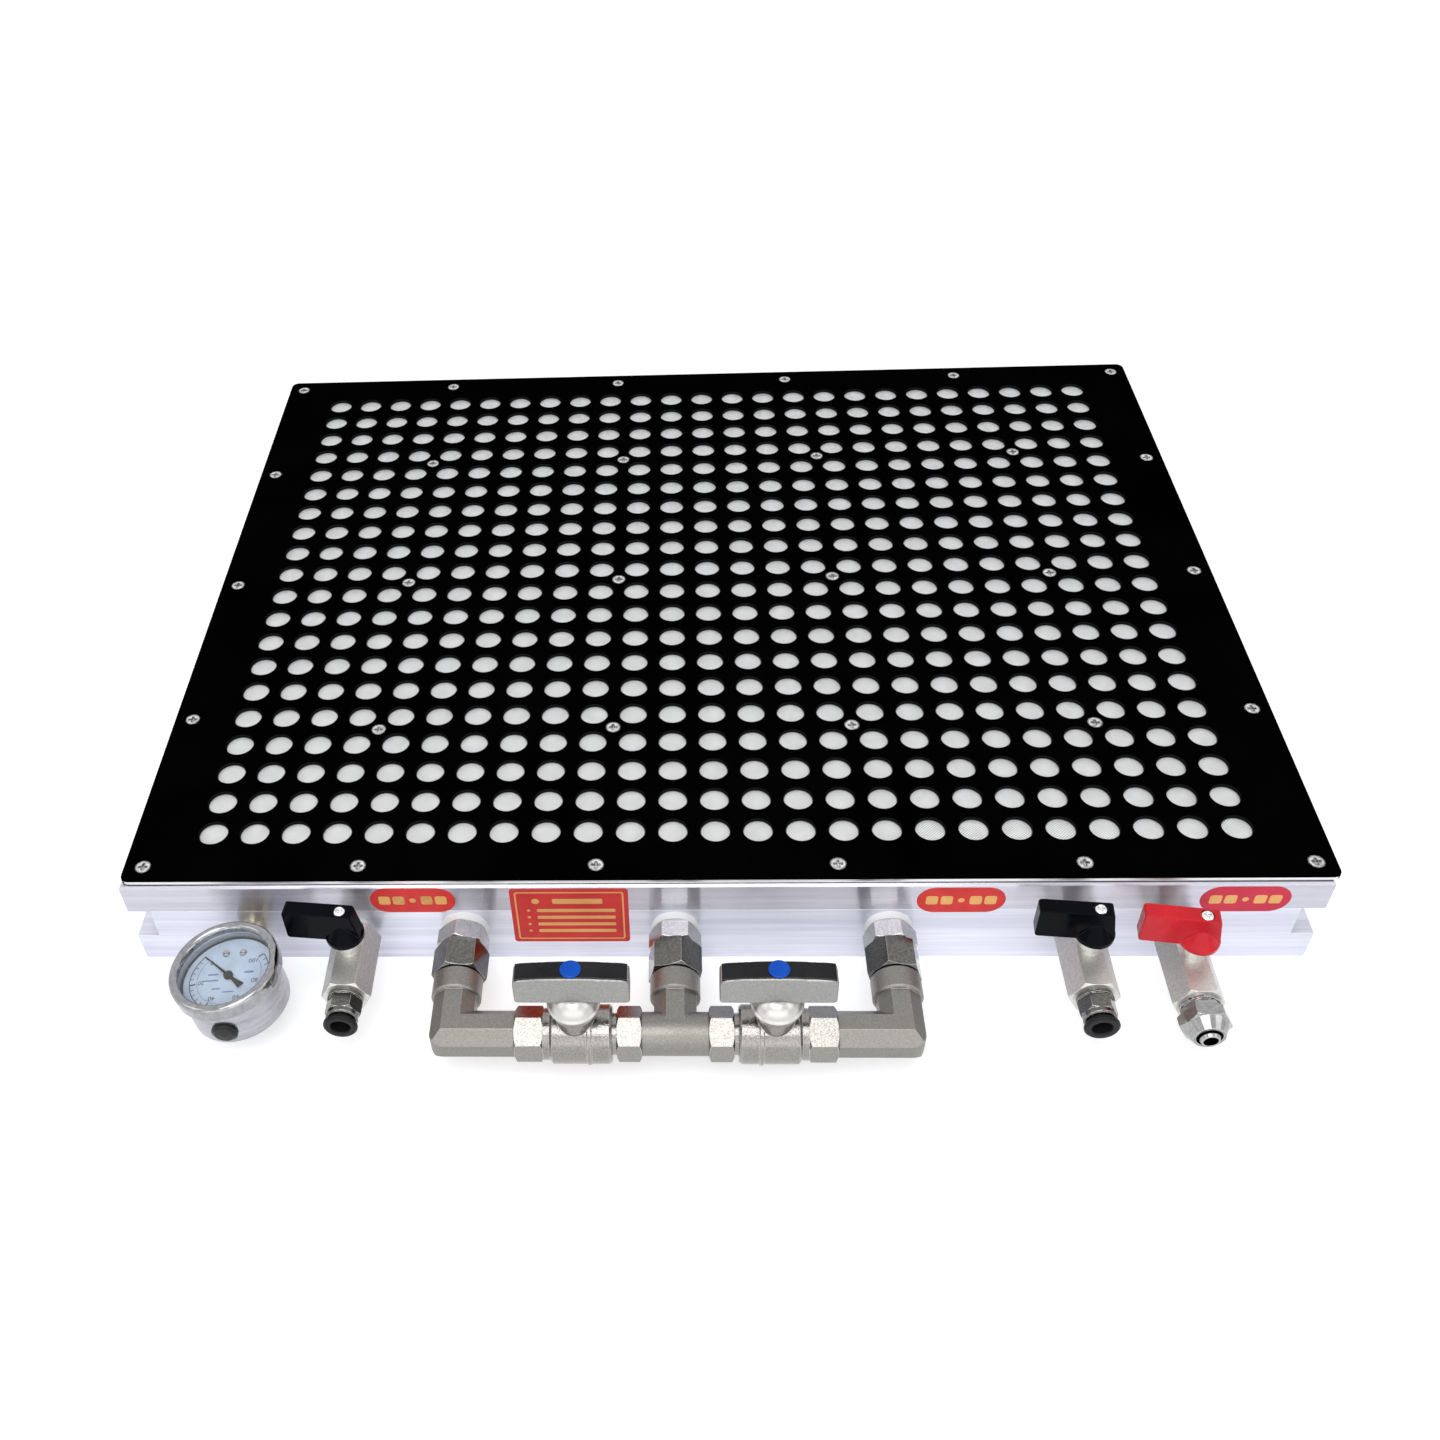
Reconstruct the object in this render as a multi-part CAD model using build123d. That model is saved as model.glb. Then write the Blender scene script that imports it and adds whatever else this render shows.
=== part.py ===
from build123d import *
import copy
import math
import os

# Perforated vacuum chuck for a machine table, in millimetres.
# X runs along the front, Y away from it and Z up. The origin is the centre of the underside.

# Table: base plate, suction plate, filter mesh and perforated panel
table_length = 498.0
table_width = 400.0
base_thickness = 32.0
suction_thickness = 15.5
mesh_thickness = 0.4
panel_thickness = 1.6
panel_length = 500.4
panel_width = 397.0
panel_corner_radius = 4.0
mesh_inset = 4.5
mesh_corner_radius = 2.0
edge_break = 0.8
# The plates sit a little to the left of the hole grid
block_shift = -1.5

# Side slots that take the machine table's clamps
clamp_flange_height = 15.5
clamp_slot_depth = 9.5

# Holes in the panel and the suction rows under them
hole_pitch = 18.0
hole_columns = 25
hole_rows = 20
hole_radius = 6.5
row_channel_width = 12.0
row_channel_depth = 4.0
feed_hole_radius = 2.5

# Air gallery and seal between the two plates
gallery_width = 10.0
gallery_depth = 6.0
gallery_spacing = 162.0
front_gallery_inset = 38.0
seal_inset_x = 34.0
seal_inset_y = 22.0
seal_corner_radius = 10.0
seal_width = 3.6
seal_depth = 2.4

# Countersunk screws that hold the panel
panel_screw_radius = 1.95
panel_screw_head_radius = 3.4
panel_screw_length = 10.0
panel_screw_inset_x = 8.2
panel_screw_inset_y = 8.5
edge_screw_spacing = 100.0
field_screw_columns = (3.5, 9.5, 15.5, 21.5)
field_screw_rows = (3.5, 9.5, 15.5)

# Cap screws that join the two plates from below
cap_screw_radius = 2.95
cap_screw_head_radius = 5.0
cap_screw_head_height = 6.0
cap_screw_socket_flats = 5.0
cap_screw_inset_x = 20.0
cap_screw_inset_y = 14.0
cap_screw_side_spacing = 62.0
cap_screw_bite = 9.0

# Tongue of a valve stem in its ball's slot
tang_depth = 2.2
# Clearances
thread_gap = 0.05
running_gap = 0.05
seat_gap = 0.03
screw_gap = 0.35

# Ports in the front face
port_height = 21.0
port_passage_radius = 4.0
riser_radius = 3.5
riser_end_wall = 6.0
thread_depth = 14.0
thread_reach = 12.0
small_thread_radius = 4.86
medium_thread_radius = 6.58
large_thread_radius = 8.33
gauge_x = -199.2
mini_valve_x = (-152.5, 149.5, 189.5)
mini_valve_standoff = (4.5, 4.5, 7.8)
manifold_x = -17.5

# Unions between the ports and the manifold
washer_radius = 10.0
washer_thickness = 3.6
nipple_hex_flats = 19.0
nipple_hex_length = 8.8
nipple_nose_length = 8.0
union_nut_flats = 20.0
union_nut_length = 14.3
union_lip_thickness = 2.6
union_bore_radius = 5.0
tail_flange_thickness = 3.4
nut_stand_off = 0.2
nut_turns = (-6.6, 17.0, 47.7)
nipple_turns = (-18.0, 0.0, 10.0)

# Elbows and tee
collar_radius = 10.2
collar_length = 10.4
collar_chamfer = 0.7
arm_flats = 17.0
arm_bore_radius = 5.5
elbow_corner_radius = 6.0
elbow_arm_length = 25.65
elbow_reach = 15.9
socket_depth = 9.5
tail_thread_reach = 8.5
tee_half_run = 13.2
tee_run_radius = 8.6
run_thread_reach = 8.5

# T-handle ball valves
t_hex_flats = 19.0
t_hex_length = 11.5
t_outer_length = 24.3
t_neck_radius = 10.2
t_drum_radius = 11.7
t_drum_start = 9.0
t_drum_end = 14.4
t_rib_height = 0.5
t_rib_width = 1.2
t_rib_place = 5.0
t_end_gap = 1.8
t_end_hex_length = 9.9
t_ball_radius = 7.8
t_bore_radius = 4.75
t_seat_width = 1.8
t_seat_length = 4.0
t_seat_back = 8.6
t_stem_radius = 3.5
t_stem_square = 4.9
t_stem_top = 25.0
t_collar_radius = 4.65
t_collar_height = 1.0
t_seal_height = 1.6
t_boss_radius = 7.5
t_boss_height = 16.8
t_tang_width = 3.0
t_hub_bottom = 17.0
t_hub_foot_radius = 8.8
t_hub_radius = 10.4
t_hub_rim_height = 21.3
t_hub_rim_round = 0.8
t_hub_crest_radius = 5.0
t_hub_bulge = 0.45
t_blade_length = 44.5
t_blade_thickness = 9.0
t_blade_bottom = 27.0
t_blade_top = 42.0
t_blade_crown = 1.4
t_blade_corner = 3.0
t_inlay_depth = 1.5
t_inlay_proud = 0.4
t_inlay_rim = 0.75
t_cap_radius = 4.1
t_cap_stem_radius = 3.0
t_cap_stem_length = 5.0
t_cap_proud = 0.7
t_screw_seat = 33.0
t_screw_head_radius = 2.4
t_screw_head_height = 1.8
t_screw_reach = 5.0

# Mini ball valves with wing handles
mini_hex_flats = 18.0
mini_length = 32.0
mini_pivot_place = 13.8
mini_ball_radius = 5.2
mini_bore_radius = 3.2
mini_cavity_radius = 5.6
mini_seat_back = 5.0
mini_seat_length = 2.6
mini_insert_length = 2.0
mini_stem_radius = 2.5
mini_stem_square = 3.5
mini_stem_top = 26.0
mini_collar_radius = 3.0
mini_collar_height = 0.8
mini_seal_height = 1.3
mini_boss_radius = 4.0
mini_boss_height = 16.6
mini_tang_width = 2.1
wing_length = 23.5
wing_turns = (-5.0, -5.0, -7.5)
wing_heel_top = 5.0
wing_heel_foot = 7.4
wing_thickness = 6.6
wing_bottom = 18.4
wing_top = 34.0
wing_corner = 1.4
hub_radius = 8.0
hub_bottom = 17.9
hub_rim = 2.2
hub_cone_top = 27.0
wing_screw_shank = 1.15
wing_screw_head_radius = 2.5
wing_screw_sink = 1.4
wing_screw_head_height = 1.7
wing_screw_reach = 6.0

# Push-in tube fittings
tube_radius = 4.05
push_flange_radius = 7.4
push_flange_length = 1.7
push_hex_flats = 13.0
push_hex_length = 6.7
push_neck_radius = 6.6
push_neck_length = 2.4
push_neck_chamfer = 0.6
push_thread_reach = 8.0
sleeve_wall = 0.95
sleeve_length = 4.3
release_flange_radius = 7.0
release_flange_length = 2.0
release_gap = 1.8
o_ring_section = 0.65

# Quick-twist hose fitting
hose_tube_radius = 4.0
hose_bore_radius = 2.9
hose_hex_flats = 14.0
hose_hex_length = 3.4
hose_thread_radius = 6.3
hose_nut_flats = 18.0
hose_nut_hex_length = 5.4
hose_nut_cone_length = 4.6
hose_nut_mouth_radius = 5.2
hose_nut_nose_radius = 6.3
hose_tube_length = 17.0

# Vacuum gauge
gauge_reach = 32.2
gauge_lean = -6.0
gauge_case_radius = 20.7
gauge_case_wall = 0.8
gauge_case_below = 8.8
gauge_case_above = 11.6
gauge_rim_width = 0.7
gauge_rim_height = 1.0
bezel_overhang = 2.3
bezel_lip = 1.6
bezel_top = 17.2
lens_thickness = 1.7
lens_gap = 0.4
dial_gap = 1.5
dial_thickness = 0.5
dial_height = 7.6
dial_screw_spacing = 7.3
dial_screw_place = 11.6
needle_length = 15.8
needle_tail = 8.3
needle_lift = 0.7
needle_thickness = 0.4
needle_hub_radius = 1.9
needle_angle = 140.0
arbor_radius = 0.6
wrench_flats = 11.0
socket_neck_radius = 5.4
fill_plug_radius = 5.4
fill_plug_stem_radius = 3.5
bourdon_radius = 14.5
bourdon_height = 6.0
bourdon_width = 2.4
bourdon_sweep = 235.0
movement_top = 5.0
movement_plate_thickness = 1.2
pillar_radius = 1.4

# Places that follow from the dimensions above
face_y = -table_width / 2
suction_top = base_thickness + suction_thickness
mesh_top = suction_top + mesh_thickness
panel_top = mesh_top + panel_thickness
seal_gap = 0.1
t_collar_low = t_ball_radius + 0.8
mini_collar_low = mini_ball_radius + 0.6
bezel_radius = gauge_case_radius + bezel_overhang
bezel_lip_radius = gauge_case_radius - bezel_lip
lens_radius = gauge_case_radius - lens_gap
dial_radius = gauge_case_radius - dial_gap
union_length = washer_thickness + nipple_hex_length + nut_stand_off + union_nut_length
collar_start = union_length + 0.4
run_y = face_y - collar_start - collar_length - elbow_reach
t_inner_length = t_drum_end + t_end_gap + t_end_hex_length
stem_offset = tee_half_run + t_inner_length
stack_spacing = stem_offset + t_outer_length + elbow_arm_length
stack_x = (manifold_x - stack_spacing, manifold_x, manifold_x + stack_spacing)
t_valve_x = (manifold_x - stem_offset, manifold_x + stem_offset)
port_thread = {gauge_x: small_thread_radius}
port_thread.update({x: medium_thread_radius for x in mini_valve_x})
port_thread.update({x: large_thread_radius for x in stack_x})
row_places = [(i - (hole_rows - 1) / 2) * hole_pitch for i in range(hole_rows)]
row_length = (hole_columns - 1) * hole_pitch
nodes = {}


# Shared shapes: each is built about the Z axis
def turned(*points):
    outline = Polyline(*[(radius, 0, height) for radius, height in points], close=True)
    return revolve(make_face(outline), Axis.Z)


def rod(radius, low, high):
    return Pos(0, 0, low) * Cylinder(radius, high - low, align=(Align.CENTER, Align.CENTER, Align.MIN))


def ring(inner, outer, low, high):
    return turned((inner, low), (outer, low), (outer, high), (inner, high))


def bar(size_x, size_y, low, high):
    return Pos(0, 0, low) * Box(size_x, size_y, high - low, align=(Align.CENTER, Align.CENTER, Align.MIN))


def hexagon(flats, low, high):
    corner = flats / 2 / math.cos(math.radians(30)) * 1.02
    drop = (corner - flats / 2) * math.tan(math.radians(30))
    length = high - low
    blank = extrude(RegularPolygon(flats / 2, 6, major_radius=False), amount=length)
    crown = [(0, 0), (flats / 2, 0), (corner, drop)]
    ends = turned(*crown, *[(radius, length - height) for radius, height in reversed(crown)])
    return Pos(0, 0, low) * (blank & ends)


# A piece built about Z is turned to point out of the front face, or along the manifold's run
def outward(part):
    return Rot(90, 0, 0) * part


def along_run(part, side):
    return Rot(0, 90 * side, 0) * part


def at_port(x, part, out=0.0):
    return Pos(x, face_y - out, port_height) * part


def several(places, part):
    return Compound([place * copy.copy(solid) for place in places for solid in part.solids()])


def slot_at(x, y, length, width, turn=0):
    return Pos(x, y) * SlotOverall(length, width, rotation=turn)


# Where the screws stand
def panel_screw_places():
    edge_x = panel_length / 2 - panel_screw_inset_x
    edge_y = panel_width / 2 - panel_screw_inset_y
    along_front = [-edge_x, -1.5 * edge_screw_spacing, -0.5 * edge_screw_spacing]
    along_front += [-x for x in along_front]
    places = [(x, side * edge_y) for side in (-1, 1) for x in along_front]
    places += [(side * edge_x, i * edge_screw_spacing) for side in (-1, 1) for i in (-1, 0, 1)]
    for column in field_screw_columns:
        for row in field_screw_rows:
            x = (column - (hole_columns - 1) / 2) * hole_pitch
            y = (row - (hole_rows - 1) / 2) * hole_pitch
            places.append((x, y))
    return [Pos(x, y) for x, y in places]


def cap_screw_places():
    ports = sorted(port_thread)
    between = [(a + b) / 2 for a, b in zip(ports, ports[1:])]
    reach = table_length / 2 - cap_screw_inset_x
    edge_x = (block_shift - reach, block_shift + reach)
    edge_y = table_width / 2 - cap_screw_inset_y
    places = [(x, side * edge_y) for side in (-1, 1) for x in [edge_x[0], *between, edge_x[1]]]
    places += [(x, end * cap_screw_side_spacing) for x in edge_x for end in (-1, 1)]
    return [Pos(x, y) for x, y in places]


# The lower plate has the clamp slots, the ports, the gallery and the seal's groove
def base_plate():
    half = table_length / 2
    web = half - clamp_slot_depth
    outline = Polyline(
        (-half, 0),
        (half, 0),
        (half, clamp_flange_height),
        (web, clamp_flange_height),
        (web, base_thickness),
        (-web, base_thickness),
        (-web, clamp_flange_height),
        (-half, clamp_flange_height),
        close=True,
    )
    plate = extrude(Plane.XZ * make_face(outline), amount=table_width / 2, both=True)
    plate = chamfer(plate.edges().filter_by(Axis.Y).group_by(Axis.Z)[0], edge_break)
    plate = Pos(block_shift, 0, 0) * plate
    gallery_top = Plane.XY.offset(base_thickness - gallery_depth)
    cross_length = 2 * max(abs(x) for x in port_thread) + gallery_width
    down_length = 2 * (max(row_places) + feed_hole_radius) + 1
    front_gallery = table_width / 2 - front_gallery_inset
    gallery = slot_at(0, 0, cross_length, gallery_width)
    gallery += [slot_at(0, side * front_gallery, cross_length, gallery_width) for side in (-1, 1)]
    gallery += [slot_at(i * gallery_spacing, 0, down_length, gallery_width, 90) for i in (-1, 0, 1)]
    plate -= extrude(gallery_top * gallery, amount=gallery_depth + 1)
    plate -= Pos(0, 0, base_thickness - seal_depth) * seal_loop(seal_width / 2 + seal_gap, seal_depth + 1)
    for x, thread in port_thread.items():
        plate -= at_port(x, outward(rod(thread, -thread_depth, 1)))
        plate -= at_port(x, outward(rod(port_passage_radius, -front_gallery_inset - riser_end_wall, 1)))
        riser = rod(riser_radius, port_height, base_thickness)
        plate -= Pos(x, -front_gallery) * riser
    head_room = cap_screw_head_radius + screw_gap
    sink = rod(head_room, -1, cap_screw_head_height + 2 * screw_gap)
    shank = rod(cap_screw_radius + screw_gap, -1, base_thickness + 1)
    plate -= [place * (sink + shank) for place in cap_screw_places()]
    return plate


def seal_loop(half_width, height):
    length = table_length - 2 * seal_inset_x
    width = table_width - 2 * seal_inset_y
    outer = RectangleRounded(length + 2 * half_width, width + 2 * half_width, seal_corner_radius + half_width)
    inner = RectangleRounded(length - 2 * half_width, width - 2 * half_width, seal_corner_radius - half_width)
    return Pos(block_shift, 0, 0) * extrude(outer - inner, amount=height)


# The upper plate has a suction channel under each row of holes
def suction_plate():
    outline = Pos(block_shift, 0, base_thickness) * Rectangle(table_length, table_width)
    plate = extrude(outline, amount=suction_thickness)
    plate = chamfer(plate.edges().group_by(Axis.Z)[-1], edge_break)
    channel_length = row_length + row_channel_width
    channels = [slot_at(0, y, channel_length, row_channel_width) for y in row_places]
    floor = Plane.XY.offset(suction_top - row_channel_depth)
    plate -= extrude(floor * (Sketch() + channels), amount=row_channel_depth + 1)
    feed = rod(feed_hole_radius, base_thickness - 1, suction_top)
    plate -= [Pos(i * gallery_spacing, y) * feed for i in (-1, 0, 1) for y in row_places]
    panel_tap = rod(panel_screw_radius + thread_gap, suction_top - panel_screw_length, suction_top + 1)
    plate -= [place * panel_tap for place in panel_screw_places()]
    cap_tap = rod(cap_screw_radius + thread_gap, base_thickness - 1, base_thickness + cap_screw_bite + 1)
    plate -= [place * cap_tap for place in cap_screw_places()]
    return plate


def sheet_outline(inset, corner):
    return RectangleRounded(panel_length - 2 * inset, panel_width - 2 * inset, corner)


def filter_mesh():
    outline = sheet_outline(mesh_inset, mesh_corner_radius)
    outline -= [place * Circle(panel_screw_radius + screw_gap) for place in panel_screw_places()]
    return Pos(0, 0, suction_top) * extrude(outline, amount=mesh_thickness)


def top_panel():
    holes = GridLocations(hole_pitch, hole_pitch, hole_columns, hole_rows)
    outline = sheet_outline(0, panel_corner_radius)
    outline -= [place * Circle(hole_radius) for place in holes]
    panel = Pos(0, 0, mesh_top) * extrude(outline, amount=panel_thickness)
    head = countersink(panel_screw_head_radius + thread_gap, panel_screw_radius + screw_gap, 1)
    panel -= [place * head for place in panel_screw_places()]
    return panel


def countersink(head_radius, shank_radius, extra):
    cone = head_radius - shank_radius
    return turned(
        (0, mesh_top - extra),
        (shank_radius, mesh_top - extra),
        (shank_radius, panel_top - cone),
        (head_radius, panel_top),
        (head_radius, panel_top + extra),
        (0, panel_top + extra),
    )


def panel_screw():
    cone = panel_screw_head_radius - panel_screw_radius
    screw = turned(
        (0, suction_top - panel_screw_length + 1),
        (panel_screw_radius, suction_top - panel_screw_length + 1),
        (panel_screw_radius, panel_top - cone),
        (panel_screw_head_radius, panel_top),
        (0, panel_top),
    )
    return screw - cross_recess(panel_screw_head_radius * 0.55, panel_top, 1.0)


def cross_recess(reach, top, depth):
    return bar(2 * reach, reach / 2, top - depth, top + 1) + bar(reach / 2, 2 * reach, top - depth, top + 1)


def cap_screw():
    head_top = cap_screw_head_height + screw_gap
    screw = rod(cap_screw_head_radius, screw_gap, head_top)
    screw += rod(cap_screw_radius, head_top, base_thickness + cap_screw_bite)
    seat = 2 * screw_gap + cap_screw_head_height
    screw = Pos(0, 0, seat - head_top) * screw
    key = RegularPolygon(cap_screw_socket_flats / 2, 6, major_radius=False)
    socket = extrude(key, amount=cap_screw_head_height / 2)
    return screw - Pos(0, 0, seat - cap_screw_head_height) * socket


def build_table():
    nodes["base_plate"] = base_plate()
    nodes["plate_seal"] = Pos(0, 0, base_thickness - seal_depth) * seal_loop(seal_width / 2, seal_depth)
    nodes["suction_plate"] = suction_plate()
    nodes["filter_mesh"] = filter_mesh()
    nodes["top_panel"] = top_panel()
    nodes["panel_screws"] = several(panel_screw_places(), panel_screw())
    nodes["assembly_screws"] = several(cap_screw_places(), cap_screw())


# A union joins each manifold leg to its port: washer, nipple, nut and tail
def stack_places(turns):
    return [Pos(x, face_y, port_height) * Rot(90, 0, 0) * Rot(0, 0, turn) for x, turn in zip(stack_x, turns)]


def build_unions():
    hex_start = washer_thickness
    hex_end = hex_start + nipple_hex_length
    nose_end = hex_end + nipple_nose_length
    nut_start = hex_end + nut_stand_off
    nut_end = nut_start + union_nut_length
    lip = nut_end - union_lip_thickness
    male = large_thread_radius - thread_gap
    washer = ring(large_thread_radius + thread_gap, washer_radius, 0, washer_thickness)
    nipple = rod(male, -thread_reach, nose_end) + hexagon(nipple_hex_flats, hex_start, hex_end)
    nipple -= rod(union_bore_radius, -thread_reach - 1, nose_end + 1)
    tail_male = medium_thread_radius - thread_gap
    lip_radius = medium_thread_radius + 2 * thread_gap
    nut = hexagon(union_nut_flats, nut_start, nut_end)
    nut -= rod(large_thread_radius, nut_start - 1, lip) + rod(lip_radius, lip - 1, nut_end + 1)
    tail = rod(male, nose_end, nose_end + tail_flange_thickness) + rod(
        tail_male, nose_end, collar_start + tail_thread_reach
    )
    tail -= rod(union_bore_radius - 0.5, nose_end - 1, collar_start + tail_thread_reach + 1)
    nodes["seal_washers"] = several(stack_places(nipple_turns), washer)
    nodes["union_nipples"] = several(stack_places(nipple_turns), nipple)
    nodes["union_nuts"] = several(stack_places(nut_turns), nut)
    nodes["union_tails"] = several(stack_places(nut_turns), tail)


# Cast legs have a round collar and an eight-sided arm
def octagon_arm(length):
    return extrude(RegularPolygon(arm_flats / 2, 8, major_radius=False, rotation=22.5), amount=length)


def collar():
    inner = medium_thread_radius
    body = turned(
        (0, 0),
        (collar_radius - collar_chamfer, 0),
        (collar_radius, collar_chamfer),
        (collar_radius, collar_length - collar_chamfer),
        (collar_radius - collar_chamfer, collar_length),
        (0, collar_length),
    )
    return body, rod(inner, -1, socket_depth)


def elbow(side):
    half = arm_flats / 2
    corner = collar_length + elbow_reach
    body, socket = collar()
    leg = octagon_arm(corner + half)
    arm = Pos(-side * half, 0, corner) * (Rot(0, 90 * side, 0) * octagon_arm(elbow_arm_length + half))
    mitre = Plane(origin=(0, 0, corner), z_dir=(side, 0, 1))
    leg = split(leg, bisect_by=mitre, keep=Keep.BOTTOM)
    arm = split(arm, bisect_by=mitre, keep=Keep.TOP)
    part = body + leg + arm
    middle = half - elbow_corner_radius
    rounding = elbow_corner_radius
    block = Pos(-side * half, 0, corner + half) * Box(2 * rounding, 2 * half, 2 * rounding)
    core = Pos(-side * middle, 0, corner + middle) * Rot(90, 0, 0) * Cylinder(rounding, 2 * half + 2)
    part -= block - core
    thread = rod(large_thread_radius - thread_gap, 0, elbow_arm_length + run_thread_reach)
    part += Pos(0, 0, corner) * along_run(thread, side)
    part -= socket
    part -= rod(arm_bore_radius, 0, corner)
    part -= Pos(0, 0, corner) * Sphere(arm_bore_radius)
    part -= Pos(0, 0, corner) * along_run(rod(arm_bore_radius, 0, elbow_arm_length + 20), side)
    return part


def tee():
    corner = collar_length + elbow_reach
    body, socket = collar()
    reach = tee_half_run + run_thread_reach
    part = body + octagon_arm(corner)
    part += Pos(0, 0, corner) * along_run(rod(tee_run_radius, -tee_half_run, tee_half_run), 1)
    part += Pos(0, 0, corner) * along_run(rod(large_thread_radius - thread_gap, -reach, reach), 1)
    part -= socket
    part -= rod(arm_bore_radius, 0, corner)
    part -= Pos(0, 0, corner) * along_run(rod(arm_bore_radius, -reach - 1, reach + 1), 1)
    return part


def build_legs():
    nodes["elbow_left"] = at_port(stack_x[0], outward(elbow(1)), collar_start)
    nodes["elbow_right"] = at_port(stack_x[2], outward(elbow(-1)), collar_start)
    nodes["tee"] = at_port(stack_x[1], outward(tee()), collar_start)


# T-handle valve: the end piece and the far seat face the tee
def t_body(side):
    hex_end = -t_outer_length + t_hex_length
    drum = turned(
        (0, hex_end),
        (t_neck_radius, hex_end),
        (t_neck_radius, -t_drum_start - 1.2),
        (t_drum_radius, -t_drum_start),
        (t_drum_radius, t_rib_place - t_rib_height),
        (t_drum_radius + t_rib_height, t_rib_place),
        (t_drum_radius + t_rib_height, t_rib_place + t_rib_width),
        (t_drum_radius, t_rib_place + t_rib_width + t_rib_height),
        (t_drum_radius, t_drum_end - 1.0),
        (t_drum_radius - 1.0, t_drum_end),
        (0, t_drum_end),
    )
    shell = along_run(hexagon(t_hex_flats, -t_outer_length, hex_end) + drum, side)
    shell += rod(t_boss_radius, 0, t_boss_height)
    seat_radius = t_bore_radius + t_seat_width
    hollow = rod(large_thread_radius, -t_outer_length - 1, -t_outer_length + socket_depth)
    hollow += rod(t_bore_radius, -t_outer_length, 0)
    hollow += rod(seat_radius + running_gap, -t_seat_back, 0)
    hollow += rod(large_thread_radius + 0.02, -t_seat_back + t_seat_length, t_drum_end + 1)
    pocket, ceiling = stem_pocket(t_collar_radius, t_collar_low, t_collar_height, t_seal_height)
    bore = rod(t_stem_radius + running_gap, ceiling - 1, t_boss_height + 1)
    return shell - along_run(hollow, side) - pocket - bore


def stem_pocket(collar_radius, low, collar_height, seal_height):
    ceiling = low + collar_height + running_gap + seal_height
    return rod(collar_radius + running_gap, 0, ceiling), ceiling


def t_end(side):
    hex_start = t_drum_end + t_end_gap
    end = hex_start + t_end_hex_length
    start = t_seat_back - t_seat_length
    part = rod(large_thread_radius - thread_gap, start, hex_start + 1) + hexagon(t_hex_flats, hex_start, end)
    part -= rod(t_bore_radius, start - 1, end)
    part -= rod(t_bore_radius + t_seat_width + running_gap, start - 1, t_seat_back)
    part -= rod(large_thread_radius, end - socket_depth + 0.6, end + 1)
    return along_run(part, side)


def ball(radius, bore, slot_width, slot_floor, flow):
    part = Sphere(radius) - flow * rod(bore, -radius - 1, radius + 1)
    return part - bar(slot_width, 3 * radius, slot_floor, radius + 1)


def seats(ball_radius, inner, outer, back, length, flow):
    radius = ball_radius + seat_gap
    front = back - length
    outer_touch = math.asin(front / radius)
    inner_touch = math.acos(inner / radius)
    angles = (outer_touch, (outer_touch + inner_touch) / 2, inner_touch)
    touch = [(radius * math.cos(a), 0, radius * math.sin(a)) for a in angles]
    walls = Polyline(touch[-1], (inner, 0, back), (outer, 0, back), (outer, 0, front), touch[0])
    seat = revolve(make_face([ThreePointArc(*touch), *walls.edges()]), Axis.Z)
    return [flow * seat, flow * Rot(180, 0, 0) * copy.copy(seat)]


def stem(radius, collar_radius, low, collar_height, square, shoulder, top, tang, tap):
    part = bar(tang - 2 * running_gap, 1.4 * collar_radius, low - tang_depth, low + 0.1)
    part += rod(collar_radius, low, low + collar_height)
    part += rod(radius, low, shoulder) + bar(square, square, shoulder - 0.5, top)
    return part - rod(tap, shoulder, top + 1)


# The blade's top is a shallow arc
def crown_outline(half_length, bottom, lift):
    edge = t_blade_top - t_blade_crown * (2 * half_length / t_blade_length) ** 2 + lift
    arc = ThreePointArc((-half_length, edge), (0, t_blade_top + lift), (half_length, edge))
    sides = Polyline((half_length, edge), (half_length, bottom), (-half_length, bottom), (-half_length, edge))
    return make_face([arc, *sides.edges()])


def crown_slab(half_length, low_lift, high_lift, half_thickness):
    edge = t_blade_top - t_blade_crown * (2 * half_length / t_blade_length) ** 2
    outline = []
    for lift in (low_lift, high_lift):
        ends = [(x, edge + lift) for x in (-half_length, half_length)]
        outline.append(ThreePointArc(ends[0], (0, t_blade_top + lift), ends[1]))
    outline += [Line((x, edge + low_lift), (x, edge + high_lift)) for x in (-half_length, half_length)]
    return extrude(Plane.XZ * make_face(outline), amount=half_thickness, both=True)


# The hub widens to its rim, then domes up into the blade
def t_hub():
    shoulder = (t_hub_radius - t_hub_rim_round, t_hub_rim_height + t_hub_rim_round)
    crest = (t_hub_crest_radius, t_blade_bottom + 0.4)
    middle = tuple((a + b) / 2 + t_hub_bulge for a, b in zip(shoulder, crest))
    walls = Polyline(crest, (0, crest[1]), (0, t_hub_bottom), (t_hub_foot_radius, t_hub_bottom),
                     (t_hub_radius, t_hub_rim_height), shoulder)
    dome = ThreePointArc(shoulder, middle, crest)
    return revolve(Plane.XZ * make_face([*walls.edges(), dome]), Axis.Z)


def t_handle():
    outline = Sketch() + crown_outline(t_blade_length / 2, t_blade_bottom, 0)
    outline = fillet(outline.vertices().group_by(Axis.Y)[-1], t_blade_corner)
    outline = fillet(outline.vertices().group_by(Axis.Y)[0], t_blade_corner / 2)
    blade = extrude(Plane.XZ * outline, amount=t_blade_thickness / 2, both=True)
    blade = fillet(blade.faces().filter_by(Axis.Y).edges(), 0.7)
    blade += t_hub()
    hole = t_stem_square + 2 * running_gap
    blade -= bar(hole, hole, t_hub_bottom - 1, t_stem_top + running_gap)
    blade -= rod(wing_screw_shank + 0.15, t_stem_top - 1, t_blade_top)
    blade -= rod(t_cap_stem_radius + running_gap, t_screw_seat, t_blade_top + 1)
    rim = t_blade_length / 2 - t_inlay_rim
    return blade - crown_slab(rim, -t_inlay_depth, 2, t_blade_thickness / 2 - t_inlay_rim)


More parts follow.
